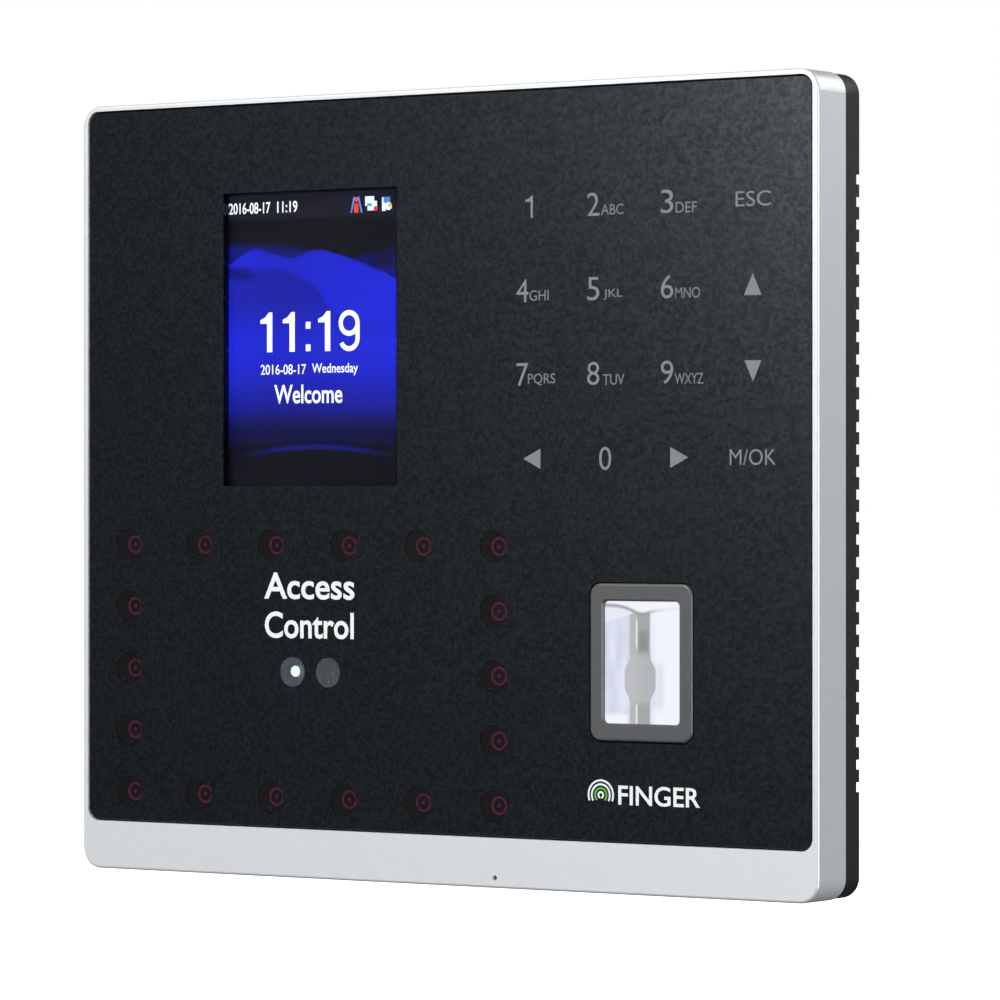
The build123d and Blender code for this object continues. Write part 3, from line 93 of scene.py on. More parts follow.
CAP_LEAD = 1.0  # how far a cap's rim stands in front of its lamp's tip
CAP_REACH = 1.5  # how far its skirt reaches behind the tip
LAMP_COLUMNS, LAMP_ROWS = 6, 5
LAMP_LOW, LAMP_HIGH = (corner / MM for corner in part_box("ir_windows"))
LAMP_WINDOW_R = 3.0  # radius of one infrared window
LAMP_PITCH_X = (LAMP_HIGH.x - LAMP_LOW.x - 2 * LAMP_WINDOW_R) / (LAMP_COLUMNS - 1)
LAMP_PITCH_Z = (LAMP_HIGH.z - LAMP_LOW.z - 2 * LAMP_WINDOW_R) / (LAMP_ROWS - 1)
LAMP_SPOTS = [
    (LAMP_LOW.x + LAMP_WINDOW_R + column * LAMP_PITCH_X, LAMP_LOW.z + LAMP_WINDOW_R + row * LAMP_PITCH_Z)
    for column in range(LAMP_COLUMNS)
    for row in range(LAMP_ROWS)
    if column in (0, LAMP_COLUMNS - 1) or row in (0, LAMP_ROWS - 1)
]


# ---------------------------------------------------------------- settings a user would change
COLOUR = {"subtype": "COLOR", "min": 0.0, "max": 1.0}  # what every colour setting has in common


class TerminalFinishSettings(bpy.types.PropertyGroup):
    """Colours of the housing."""

    silver: FloatVectorProperty(
        name="Silver paint", description="Colour of the silver front frame",
        default=(0.72, 0.745, 0.77), **COLOUR,
    )
    panel: FloatVectorProperty(
        name="Front panel", description="Colour of the dark front panel between its flakes",
        default=(0.0018, 0.0027, 0.0036), **COLOUR,
    )
    cover: FloatVectorProperty(
        name="Rear cover", description="Colour of the textured black rear cover",
        default=(0.01, 0.0115, 0.0135), **COLOUR,
    )
    surround: FloatVectorProperty(
        name="Reader surround", description="Colour of the raised surround of the fingerprint glass",
        default=(0.07, 0.073, 0.077), **COLOUR,
    )
    flake_size: FloatProperty(
        name="Flake size",
        description="Size of the metallic flakes in the paint, in millimetres",
        default=0.28,
        min=0.05,
        max=2.0,
    )


class TerminalScreenSettings(bpy.types.PropertyGroup):
    """Picture shown on the display."""

    width: FloatProperty(
        name="Width", description="Width of the lit area, in millimetres", default=39.5, min=10.0
    )
    height: FloatProperty(
        name="Height", description="Height of the lit area, in millimetres", default=55.8, min=10.0
    )
    wave: FloatVectorProperty(
        name="Wave colour", description="Colour of the bright waves",
        default=(0.012, 0.022, 0.83), **COLOUR,
    )
    night: FloatVectorProperty(
        name="Night colour", description="Colour of the dark bands above and below the waves",
        default=(0.0016, 0.0018, 0.005), **COLOUR,
    )
    clock: StringProperty(
        name="Small clock", description="Time in the top line of the screen", default="11:19"
    )
    date: StringProperty(name="Date", description="Date on the screen", default="2016-08-17")
    greeting: StringProperty(name="Greeting", description="Word under the date", default="Welcome")


class TerminalLegendSettings(bpy.types.PropertyGroup):
    """Printing on the front panel."""

    ink: FloatVectorProperty(
        name="Key ink", description="Colour of the digits and arrows of the keypad",
        default=(0.2, 0.215, 0.225), **COLOUR,
    )
    faint_ink: FloatVectorProperty(
        name="Letter ink", description="Colour of the small letters beside the digits",
        default=(0.16, 0.18, 0.19), **COLOUR,
    )
    white_ink: FloatVectorProperty(
        name="White ink", description="Colour of the words and the finger sign",
        default=(0.8, 0.82, 0.83), **COLOUR,
    )
    thickness: FloatProperty(
        name="Ink thickness", description="Height of the printing, in millimetres",
        default=0.02, min=0.005, max=0.2,
    )
    first_word: StringProperty(name="Upper word", description="Upper word over the cameras", default="Access")
    second_word: StringProperty(
        name="Lower word", description="Lower word over the cameras", default="Control"
    )


class TerminalLampSettings(bpy.types.PropertyGroup):
    """Lights behind the front."""

    reader_glow: FloatProperty(
        name="Reader glow", description="Brightness of the lit fingerprint glass",
        default=0.95, min=0.0, max=10.0,
    )
    lamp_glow: FloatProperty(
        name="Infrared glow", description="Visible glow of the infrared lights",
        default=0.85, min=0.0, max=10.0,
    )
    cap_radius: FloatProperty(
        name="Cap radius", description="Radius of the cap over each light, in millimetres",
        default=1.78, min=1.7,
    )


class TerminalStageSettings(bpy.types.PropertyGroup):
    """Floor, lights and camera."""

    floor_gap: FloatProperty(
        name="Floor gap", description="How far the floor lies below the terminal", default=0.05, unit="LENGTH"
    )
    key_power: FloatProperty(
        name="Key light", description="Power of the large front light, in watts", default=39.0
    )
    side_power: FloatProperty(
        name="Side light", description="Power of the light on the right, in watts", default=62.0
    )
    sheen_power: FloatProperty(
        name="Sheen light", description="Power of the low light that sweeps over the front, in watts",
        default=8.6,
    )
    ambient: FloatProperty(
        name="Room light", description="Brightness of the room around", default=0.13, min=0.0
    )
    camera_place: FloatVectorProperty(
        name="Camera place", description="Where the camera stands", subtype="XYZ",
        default=(0.5568, -0.8241, -0.0025),
    )
    camera_turn: FloatProperty(
        name="Camera turn",
        description="Angle of the camera round the terminal",
        subtype="ANGLE",
        default=math.radians(34.37),
    )
    camera_lens: FloatProperty(
        name="Lens", description="Focal length, in millimetres", default=186.6, min=10.0
    )


# ---------------------------------------------------------------- material maker
class Finish:
    """One material in the making, with short ways to add the nodes that feed its shader."""

    def __init__(self, name, constants):
        self.material = bpy.data.materials.new(name)
        self.material.use_nodes = True
        self.nodes = self.material.node_tree.nodes
        self.shader = self.nodes["Principled BSDF"]
        for socket, value in constants.items():
            self.feed(socket, value)

    def add(self, kind, **settings):
        """Adds a node and sets its options."""
        made = self.nodes.new(kind)
        for name, value in settings.items():
            setattr(made, name, value)
        return made

    def join(self, target, value):
        """Links another node's output to a socket, or sets the socket to a plain value."""
        if isinstance(value, bpy.types.NodeSocket):
            self.material.node_tree.links.new(value, target)
        elif target.type == "RGBA":
            target.default_value = (*value[:3], 1.0)
        else:
            target.default_value = value

    def feed(self, socket, value):
        """Feeds one socket of the shader."""
        self.join(self.shader.inputs[socket], value)

    def sum(self, operation, first, second=0.0, third=0.0):
        """One step of arithmetic."""
        made = self.add("ShaderNodeMath", operation=operation)
        for socket, value in zip(made.inputs, (first, second, third)):
            self.join(socket, value)
        return made.outputs[0]

    def place(self, centre=(0.0, 0.0, 0.0), stretch=(1.0, 1.0, 1.0)):
        """Place on the piece in millimetres from a centre, stretched along its axes."""
        coordinates = self.add("ShaderNodeTexCoord")
        mapping = self.add("ShaderNodeMapping")
        mapping.inputs["Scale"].default_value = [factor / MM for factor in stretch]
        mapping.inputs["Location"].default_value = [-c * factor for c, factor in zip(centre, stretch)]
        self.join(mapping.inputs["Vector"], coordinates.outputs["Object"])
        return mapping.outputs["Vector"]

    def axes(self, place):
        """The three separate distances of a place."""
        split = self.add("ShaderNodeSeparateXYZ")
        self.join(split.inputs[0], place)
        return split.outputs[0], split.outputs[1], split.outputs[2]

    def noise(self, size, detail=3.0, stretch=(1.0, 1.0, 1.0)):
        """Cloudy noise from 0 to 1 with features of a size in millimetres."""
        made = self.add("ShaderNodeTexNoise")
        made.inputs["Scale"].default_value = 1.0 / size
        made.inputs["Detail"].default_value = detail
        self.join(made.inputs["Vector"], self.place(stretch=stretch))
        return made.outputs["Fac"]

    def cells(self, size, feature="F1"):
        """Random cells of a size in millimetres."""
        made = self.add("ShaderNodeTexVoronoi", feature=feature)
        made.inputs["Scale"].default_value = 1.0 / size
        self.join(made.inputs["Vector"], self.place())
        return made

    def spread(self, value, low, high, first=0.0, last=1.0, smooth=False):
        """Turns low..high into first..last, held at both ends."""
        made = self.add("ShaderNodeMapRange", interpolation_type="SMOOTHSTEP" if smooth else "LINEAR")
        for socket, number in zip(made.inputs, (value, low, high, first, last)):
            self.join(socket, number)
        return made.outputs[0]

    def blend(self, factor, first, second):
        """A colour between two colours."""
        made = self.add("ShaderNodeMix", data_type="RGBA")
        self.join(made.inputs[0], factor)
        self.join(made.inputs[6], first)
        self.join(made.inputs[7], second)
        return made.outputs[2]

    def line(self, value, points):
        """A smooth line drawn through points, both axes from 0 to 1."""
        made = self.add("ShaderNodeFloatCurve")
        curve = made.mapping.curves[0]
        curve.points[0].location = points[0]
        curve.points[-1].location = points[-1]
        for point in points[1:-1]:
            curve.points.new(*point)
        made.mapping.update()
        self.join(made.inputs["Value"], value)
        return made.outputs[0]

    def less(self, first, second):
        """The first value less the second."""
        return self.sum("SUBTRACT", first, second)

    def fade(self, value, low, high, smooth=True):
        """A mask that falls from 1 to 0 between two limits."""
        return self.spread(value, low, high, 1.0, 0.0, smooth)

    def both(self, first, second):
        """Where two masks overlap."""
        return self.sum("MULTIPLY", first, second)

    def band(self, value, low, high, soft):
        """A mask that is 1 between two limits, with soft edges."""
        rising = self.spread(value, low - soft, low + soft, smooth=True)
        falling = self.fade(value, high - soft, high + soft)
        return self.both(rising, falling)

    def skin(self):
        """A mask that is 1 on the terminal's face and 0 inside the openings behind it."""
        _, depth, _ = self.axes(self.place((0.0, PANEL_FACE, 0.0)))
        return self.fade(depth, 0.04, 0.2, smooth=False)

    def mottle(self, colour, size, amount):
        """Base colour that drifts a little lighter and darker."""
        darker = [channel * (1 - amount) for channel in colour]
        lighter = [channel * (1 + amount) for channel in colour]
        self.feed("Base Color", self.blend(self.noise(size), darker, lighter))

    def rough(self, size, low, high, stretch=(1.0, 1.0, 1.0)):
        """Roughness that drifts between two values."""
        self.feed("Roughness", self.spread(self.noise(size, stretch=stretch), 0.3, 0.7, low, high))

    def bump(self, height, depth, strength=1.0):
        """Raised texture of a depth in millimetres."""
        made = self.add("ShaderNodeBump")
        made.inputs["Strength"].default_value = strength
        made.inputs["Distance"].default_value = depth * MM
        self.join(made.inputs["Height"], height)
        self.feed("Normal", made.outputs["Normal"])


# ---------------------------------------------------------------- families of finish
def moulded(name, colour, roughness=0.45, grain=0.25, depth=0.01, amount=0.08):
    """Moulded plastic with a fine grain and slightly uneven gloss."""
    finish = Finish(name, {"Specular IOR Level": 0.45})
    finish.mottle(colour, 14.0, amount)
    finish.rough(5.0, roughness - 0.06, roughness + 0.06)
    finish.bump(finish.noise(grain, 4.0), depth)
    return finish.material


def rubber(name, colour, grain=0.4, depth=0.04):
    """Soft dull rubber or foam with open pores."""
    finish = Finish(name, {"Specular IOR Level": 0.25, "Sheen Weight": 0.15})
    finish.mottle(colour, 3.0, 0.15)
    finish.rough(1.0, 0.78, 0.95)
    finish.bump(finish.cells(grain).outputs["Distance"], depth)
    return finish.material


def drawn_metal(name, colour, roughness=0.34, along=(1.0, 0.05, 1.0), spangle=0.06):
    """Plated sheet or turned metal with fine drawing lines and a faint spangle."""
    finish = Finish(name, {"Metallic": 1.0})
    spots = finish.cells(2.6).outputs["Color"]
    darker = [channel * (1 - 2 * spangle) for channel in colour]
    lighter = [min(1.0, channel * (1 + spangle)) for channel in colour]
    finish.feed("Base Color", finish.blend(spots, darker, lighter))
    finish.rough(0.5, roughness - 0.08, roughness + 0.1, stretch=along)
    finish.bump(finish.noise(0.22, 2.0, stretch=along), 0.003)
    return finish.material


def solder_mask(name, colour, track):
    """Printed circuit board with tracks showing faintly through its mask."""
    finish = Finish(name, {"Coat Weight": 0.35, "Coat Roughness": 0.2})
    edges = finish.cells(3.2, "DISTANCE_TO_EDGE").outputs["Distance"]
    tracks = finish.fade(edges, 0.06, 0.1, smooth=False)
    weave = finish.noise(0.35, 2.0)
    finish.feed("Base Color", finish.blend(finish.both(tracks, weave), colour, track))
    finish.rough(1.5, 0.3, 0.45)
    finish.bump(tracks, 0.03)
    return finish.material


def clear_plastic(name, colour, roughness, index, transmission, haze, sheen):
    """Clear or tinted window plastic or glass with a trace of haze and a soft shine."""
    finish = Finish(name, {"Transmission Weight": transmission, "IOR": index, "Coat Roughness": 0.25})
    finish.feed("Coat Weight", finish.both(finish.skin(), sheen))
    finish.mottle(colour, 20.0, 0.03)
    finish.rough(4.0, roughness, roughness + haze)
    return finish.material


# ---------------------------------------------------------------- finishes of the housing
def silver_paint(look):
    """Satin silver paint with fine bright flakes."""
    finish = Finish("silver_paint", {"Metallic": 0.3, "Coat Weight": 0.2, "Coat Roughness": 0.25})
    flakes = finish.cells(look.flake_size * 0.4).outputs["Color"]
    colour = Vector(look.silver)
    finish.feed("Base Color", finish.blend(flakes, colour * 0.94, colour * 1.05))
    finish.rough(1.2, 0.36, 0.44)
    finish.bump(finish.noise(0.18, 2.0), 0.004)
    return finish.material


def flaked_panel(look):
    """Dark satin panel with small metallic flakes under a clear coat."""
    finish = Finish("flaked_panel", {"Coat Roughness": 0.26, "Specular Tint": (0.88, 0.96, 1.0)})
    skin = finish.skin()
    random = finish.cells(look.flake_size).outputs["Color"]
    split = finish.add("ShaderNodeSeparateColor")
    finish.join(split.inputs[0], random)
    flake = finish.spread(split.outputs[0], 0.8, 1.0)
    colour = Vector(look.panel)
    finish.feed("Base Color", finish.blend(flake, colour, colour * 2.0 + Vector((0.016, 0.02, 0.022))))
    finish.feed("Metallic", finish.sum("MULTIPLY", flake, 0.6))
    speckle = finish.spread(finish.noise(0.75, 2.0), 0.38, 0.62, 0.33, 0.69)
    finish.feed("Specular IOR Level", finish.both(skin, speckle))
    finish.feed("Coat Weight", finish.both(skin, 0.2))
    finish.rough(0.5, 0.2, 0.25)
    finish.bump(finish.noise(0.25, 3.0), 0.006)
    return finish.material


def textured_cover(look):
    """Black moulding with a fine spark-eroded texture."""
    finish = Finish("textured_cover", {"Specular IOR Level": 0.28})
    finish.mottle(look.cover, 9.0, 0.12)
    finish.rough(2.0, 0.52, 0.64)
    pits = finish.cells(0.42).outputs["Distance"]
    finish.bump(finish.sum("ADD", pits, finish.noise(0.2, 3.0)), 0.022)
    return finish.material


def satin_surround(look):
    """Satin grey moulding with a soft shine."""
    coat = {"Specular IOR Level": 0.55, "Coat Weight": 0.15, "Coat Roughness": 0.3}
    finish = Finish("satin_surround", coat)
    finish.mottle(look.surround, 6.0, 0.07)
    finish.rough(1.5, 0.36, 0.44)
    finish.bump(finish.noise(0.15, 3.0), 0.004)
    return finish.material


# ---------------------------------------------------------------- finishes of the lit parts
def screen_waves(look):
    """Lit picture of overlapping blue waves between dark bands."""
    finish = Finish("screen_waves", {"Roughness": 0.5, "Specular IOR Level": 0.1, "Emission Strength": 1.0})
    mid = centre_of("display_glass")
    across, _, up = finish.axes(finish.place((mid.x - PICTURE_LEFT, 0.0, mid.z)))
    x = finish.spread(across, -look.width / 2, look.width / 2)
    z = finish.spread(up, -look.height / 2, look.height / 2)
    wave = Vector(look.wave)
    night = Vector(look.night)
    rear_edge = finish.line(
        x, [(0, 0.838), (0.2, 0.836), (0.39, 0.825), (0.55, 0.8), (0.73, 0.78), (0.86, 0.797), (1, 0.812)]
    )
    crest = finish.line(
        x,
        [
            (0, 0.758), (0.06, 0.786), (0.15, 0.812), (0.27, 0.795), (0.38, 0.78),
            (0.53, 0.804), (0.64, 0.79), (0.76, 0.764), (1, 0.7),
        ],
    )
    hollow = finish.line(
        x, [(0, 0.7), (0.14, 0.735), (0.28, 0.745), (0.42, 0.72), (0.54, 0.67), (0.6, 0.61), (1, 0.56)]
    )
    swell = finish.line(
        z,
        [
            (0, 0.0), (0.17, 0.03), (0.2, 0.1), (0.26, 0.4), (0.33, 0.66),
            (0.38, 0.84), (0.5, 1.0), (0.8, 0.95), (1, 0.9),
        ],
    )
    side = finish.line(x, [(0, 0.98), (0.1, 0.94), (0.3, 0.84), (0.55, 0.88), (0.8, 0.95), (1, 1.0)])
    stripes = finish.sum("SINE", finish.sum("MULTIPLY", across, FULL_TURN / 0.85))
    ripple = finish.spread(stripes, -1.0, 1.0, 0.8, 1.0)
    light = finish.both(finish.both(swell, side), ripple)
    dim = finish.both(finish.spread(finish.less(hollow, z), -0.004, 0.012), finish.band(z, 0.56, 1.0, 0.09))
    light = finish.both(light, finish.spread(dim, 0.0, 1.0, 1.0, 0.62))
    left_patch = finish.both(finish.band(z, 0.705, 0.75, 0.012), finish.fade(x, 0.08, 0.2))
    right_patch = finish.both(finish.band(z, 0.735, 0.8, 0.012), finish.spread(x, 0.78, 0.92, smooth=True))
    patches = finish.sum("MAXIMUM", left_patch, right_patch)
    light = finish.both(light, finish.spread(patches, 0.0, 1.0, 1.0, 0.32))
    under_rear = finish.spread(finish.less(rear_edge, z), -0.002, 0.03, smooth=True)
    under_crest = finish.spread(finish.less(crest, z), -0.002, 0.01, smooth=True)
    colour = finish.blend(under_rear, night, wave * 0.24)
    colour = finish.blend(under_crest, colour, wave)
    glow = finish.blend(light, night, colour)
    arch = finish.line(x, [(0, 0.098), (0.2, 0.113), (0.42, 0.128), (0.65, 0.127), (0.85, 0.112), (1, 0.1)])
    distance = finish.sum("ABSOLUTE", finish.less(z, arch))
    near_arch = finish.spread(distance, 0.002, 0.012, 0.55, 0.0)
    arch_light = finish.both(near_arch, finish.band(x, 0.2, 0.85, 0.18))
    floor_glow = finish.both(finish.band(z, 0.14, 0.2, 0.012), 0.08)
    glow = finish.blend(finish.sum("MAXIMUM", arch_light, floor_glow), glow, wave * 0.4)
    bar = finish.spread(z, 0.908, 0.914)
    glow = finish.blend(finish.both(bar, 0.5), glow, (0.012, 0.012, 0.03))
    finish.feed("Base Color", (0.002, 0.002, 0.003))
    finish.feed("Emission Color", glow)
    return finish.material


def lit_ink(name, colour, strength=1.0):
    """Lit shape on the screen, a little uneven from its dots."""
    finish = Finish(name, {"Roughness": 0.5, "Emission Strength": strength})
    dots = finish.noise(0.25, 1.0)
    colour = Vector(colour)
    finish.feed("Emission Color", finish.blend(dots, colour * 0.9, colour))
    finish.feed("Base Color", finish.blend(dots, colour * 0.2, colour * 0.3))
    return finish.material


def printed_ink(name, colour):
    """Screen-printed ink with a slightly broken, dull surface."""
    finish = Finish(name, {"Specular IOR Level": 0.3})
    finish.mottle(colour, 0.4, 0.06)
    finish.rough(0.5, 0.5, 0.65)
    finish.bump(finish.noise(0.12, 2.0), 0.003)
    return finish.material


def lamp_radius(finish):
    """Distance from the axis of the nearest infrared lamp, in millimetres."""
    x, _, z = finish.axes(finish.place((LAMP_SPOTS[0][0], 0.0, LAMP_SPOTS[0][1])))
    dx = finish.sum("WRAP", x, LAMP_PITCH_X / 2, -LAMP_PITCH_X / 2)
    dz = finish.sum("WRAP", z, LAMP_PITCH_Z / 2, -LAMP_PITCH_Z / 2)
    return finish.sum("SQRT", finish.sum("ADD", finish.both(dx, dx), finish.both(dz, dz)))


def lamp_epoxy(look):
    """Smoked epoxy lamp with a faint red glow at its tip."""
    finish = Finish("lamp_epoxy", {"Specular IOR Level": 0.5, "Emission Strength": look.lamp_glow})
    core = finish.spread(lamp_radius(finish), 0.25, 0.6, 1.0, 0.0, smooth=True)
    finish.feed("Emission Color", finish.blend(core, (0.0, 0.0, 0.0), (1.1, 0.2, 0.5)))
    finish.feed("Base Color", finish.blend(core, (0.012, 0.008, 0.01), (0.08, 0.02, 0.03)))
    finish.rough(0.8, 0.12, 0.2)
    return finish.material


def lamp_cap(look):
    """Dark cap over each infrared light, with a plum rim and a plum bead that glow faintly."""
    finish = Finish("lamp_cap", {"Emission Strength": look.lamp_glow})
    cloud = finish.spread(finish.noise(0.5), 0.3, 0.7, 0.5, 1.0)
    _, depth, _ = finish.axes(finish.place((0.0, LAMP_TIP - CAP_LEAD, 0.0)))
    radius = lamp_radius(finish)
    dot = finish.fade(radius, 0.3, 0.46, smooth=False)
    rings = finish.sum("ADD", finish.band(radius, 1.32, 1.76, 0.04), dot)
    lit = finish.both(rings, finish.fade(depth, 0.14, 0.2, smooth=False))
    finish.feed("Base Color", finish.blend(lit, (0.005, 0.004, 0.005), (0.14, 0.02, 0.06)))
    finish.feed("Emission Color", finish.blend(finish.both(lit, cloud), (0.0, 0.0, 0.0), (1.05, 0.07, 0.36)))
    finish.rough(0.6, 0.3, 0.42)
    return finish.material


def lit_prism(look):
    """Fingerprint glass lit from below, with the dark sensor shape seen inside it."""
    finish = Finish(
        "lit_prism",
        {
            "Roughness": 0.06, "Coat Weight": 1.0, "Coat Roughness": 0.03,
            "Emission Strength": look.reader_glow,
        },
    )
    width = 16.3
    height = 22.3
    across, _, up = finish.axes(finish.place(READER))
    a = finish.spread(across, -width / 2, width / 2)
    b = finish.spread(up, -height / 2, height / 2)
    white = (0.9, 0.95, 1.0)
    lavender = (0.62, 0.64, 0.78)
    grey = (0.36, 0.37, 0.37)
    haze = finish.noise(2.4, 3.0, stretch=(1.0, 1.0, 0.25))
    left = finish.blend(finish.spread(haze, 0.35, 0.65), lavender, (0.78, 0.82, 0.95))
    glow = finish.blend(finish.spread(a, 0.52, 0.72, smooth=True), left, white)
    violet = finish.both(finish.band(a, 0.6, 0.78, 0.04), finish.band(b, 0.12, 0.5, 0.06))
    glow = finish.blend(finish.both(violet, 0.55), glow, (0.68, 0.66, 0.83))
    corner = finish.both(finish.fade(b, 0.05, 0.1), finish.fade(a, 0.28, 0.34, smooth=False))
    glow = finish.blend(corner, glow, white)
    column = finish.band(a, 0.33, 0.6, 0.012)
    column_shade = finish.blend(finish.spread(a, 0.4, 0.46), (0.47, 0.475, 0.47), grey)
    glow = finish.blend(column, glow, column_shade)
    core = finish.both(finish.band(a, 0.45, 0.57, 0.02), finish.band(b, 0.59, 0.76, 0.03))
    glow = finish.blend(core, glow, (0.25, 0.26, 0.265))
    thread = finish.both(finish.band(a, 0.412, 0.432, 0.006), finish.band(b, 0.62, 0.85, 0.03))
    low_thread = finish.both(finish.band(a, 0.412, 0.432, 0.006), finish.fade(b, 0.15, 0.17, smooth=False))
    glow = finish.blend(finish.sum("MAXIMUM", thread, low_thread), glow, (0.85, 0.86, 0.86))
    shoulder = finish.spread(finish.band(b, 0.24, 0.49, 0.06), 0.0, 1.0, 0.0, 0.07)
    half_width = finish.sum("ADD", 0.135, shoulder)
    from_middle = finish.sum("ABSOLUTE", finish.less(a, 0.468))
    body = finish.both(
        finish.spread(finish.less(from_middle, half_width), -0.01, 0.01, 1.0, 0.0, smooth=True),
        finish.band(b, 0.17, 0.56, 0.03),
    )
    body_shade = finish.blend(finish.spread(a, 0.35, 0.6), (0.5, 0.5, 0.505), (0.43, 0.45, 0.46))
    glow = finish.blend(body, glow, body_shade)
    ridge = finish.line(
        a, [(0, 0.965), (0.2, 0.958), (0.33, 0.935), (0.47, 0.9), (0.62, 0.918), (0.8, 0.935), (1, 0.95)]
    )
    above = finish.spread(finish.less(b, ridge), -0.006, 0.012, smooth=True)
    wedge_floor = finish.line(a, [(0, 0.83), (0.15, 0.85), (0.3, 0.885), (0.4, 0.9), (1, 0.95)])
    wedge = finish.both(
        finish.spread(finish.less(b, wedge_floor), -0.008, 0.012, smooth=True),
        finish.fade(a, 0.33, 0.42),
    )
    glow = finish.blend(wedge, glow, (0.82, 0.85, 0.93))
    ridge_line = finish.spread(finish.sum("ABSOLUTE", finish.less(b, ridge)), 0.006, 0.022, 1.0, 0.0)
    ridge_side = finish.spread(a, 0.45, 0.8, 0.85, 0.1)
    glow = finish.blend(above, glow, (0.93, 0.94, 1.0))
    glow = finish.blend(finish.both(ridge_line, ridge_side), glow, (0.3, 0.3, 0.33))
    finish.feed("Base Color", (0.04, 0.045, 0.05))
    finish.feed("Emission Color", glow)
    return finish.material


# ---------------------------------------------------------------- making and placing pieces
def paint(nodes, material):
    """Gives CAD nodes their finish."""
    for name in nodes:
        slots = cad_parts[name].data.materials
        slots.clear()
        slots.append(material)


def finish_piece(name, made, materials):
    """Turns a bmesh into a piece on the terminal, with its doubles merged and its faces outwards."""
    bmesh.ops.remove_doubles(made, verts=made.verts, dist=0.0005 * MM)
    bmesh.ops.recalc_face_normals(made, faces=made.faces)
    mesh = bpy.data.meshes.new(name)
    made.to_mesh(mesh)
    made.free()
    piece = bpy.data.objects.new(name, mesh)
    bpy.context.scene.collection.objects.link(piece)
    for material in materials:
        mesh.materials.append(material)
    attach(piece, FOREGROUND)


def fit_flat(made, verts, centre, size, back, thickness):
    """Stands flat work up, facing the front, and fits it to a place and size in millimetres."""
    low = Vector([min(vert.co[axis] for vert in verts) for axis in range(3)])
    high = Vector([max(vert.co[axis] for vert in verts) for axis in range(3)])
    wanted = Vector((size[0], size[1], thickness)) * MM
    factors = [wanted[axis] / (high[axis] - low[axis]) for axis in range(3)]
    middle = Vector((centre[0], back - thickness / 2, centre[1])) * MM
    placing = Matrix.Translation(middle) @ STAND_UP @ Matrix.Diagonal((*factors, 1.0))
    bmesh.ops.transform(made, matrix=placing @ Matrix.Translation(-(low + high) / 2), verts=verts)


def add_word(made, text, centre, size, back, thickness, weight=0.0, index=0):
    """Adds raised flat lettering, fitted to a place and size in millimetres."""
    curve = bpy.data.curves.new("word", "FONT")
    curve.body = text
    curve.offset = weight
    curve.extrude = 0.1
    curve.resolution_u = 5
    holder = bpy.data.objects.new("word", curve)
    bpy.context.scene.collection.objects.link(holder)
    drawn = holder.evaluated_get(bpy.context.evaluated_depsgraph_get())
    mesh = bpy.data.meshes.new_from_object(drawn)
    bpy.data.objects.remove(holder)
    bpy.data.curves.remove(curve)
    before = len(made.verts)
    faces_before = len(made.faces)
    made.from_mesh(mesh)
    bpy.data.meshes.remove(mesh)
    made.verts.ensure_lookup_table()
    made.faces.ensure_lookup_table()
    for face in made.faces[faces_before:]:
        face.material_index = index
        face.smooth = False
    fit_flat(made, made.verts[before:], centre, size, back, thickness)


def add_plate(made, centre, size, back, thickness, sides=4, turn=math.pi / 4, index=0):
    """Adds a flat plate with a regular outline, fitted to a place and size in millimetres."""
    before = len(made.faces)
    outline = bmesh.ops.create_circle(
        made, cap_ends=True, segments=sides, radius=1.0, matrix=Matrix.Rotation(turn, 4, "Z")
    )["verts"]
    raise_outline(made, outline, centre, size, back, thickness)
    made.faces.ensure_lookup_table()
    for new_face in made.faces[before:]:
        new_face.material_index = index


def add_one(made, centre, size, back, thickness, stroke):
    """Adds a digit 1 with a flag, its stroke given as a share of its width."""
    stem = 1.0 - stroke
    upright = [(stem, 0), (1, 0), (1, 1), (1 - 0.65 * stroke, 1)]
    flag = [(0.7 * stem, 0.87), (0, 0.81), (0, 0.72), (stem, 0.72)]
    verts = [made.verts.new((x, y, 0.0)) for x, y in upright + flag]
    made.faces.new(verts)
    raise_outline(made, verts, centre, size, back, thickness)


def raise_outline(made, outline, centre, size, back, thickness):
    """Gives a flat outline its thickness and fits it to a place and size in millimetres."""
    face = outline[0].link_faces[0]
    top = bmesh.ops.extrude_face_region(made, geom=[face])["geom"]
    lifted = [part for part in top if isinstance(part, bmesh.types.BMVert)]
    bmesh.ops.translate(made, verts=lifted, vec=(0.0, 0.0, 1.0))
    fit_flat(made, outline + lifted, centre, size, back, thickness)


def add_turned(made, profile, centre, steps=28):
    """Adds a piece turned round an axis that runs front to back, from (radius, y) points in millimetres."""
    before = len(made.faces)
    verts = [made.verts.new(Vector((radius, y, 0.0)) * MM) for radius, y in profile]
    edges = [made.edges.new(pair) for pair in zip(verts, verts[1:])]
    if profile[0][0] > 0.0:
        edges.append(made.edges.new((verts[-1], verts[0])))
    bmesh.ops.spin(
        made, geom=verts + edges, cent=(0, 0, 0), axis=(0, 1, 0), angle=FULL_TURN, steps=steps, use_merge=True
    )
    made.faces.ensure_lookup_table()
    new_faces = made.faces[before:]
    for face in new_faces:
        face.smooth = True
    moved = {vert for face in new_faces for vert in face.verts}
    bmesh.ops.translate(made, verts=list(moved), vec=Vector((centre[0], 0.0, centre[1])) * MM)


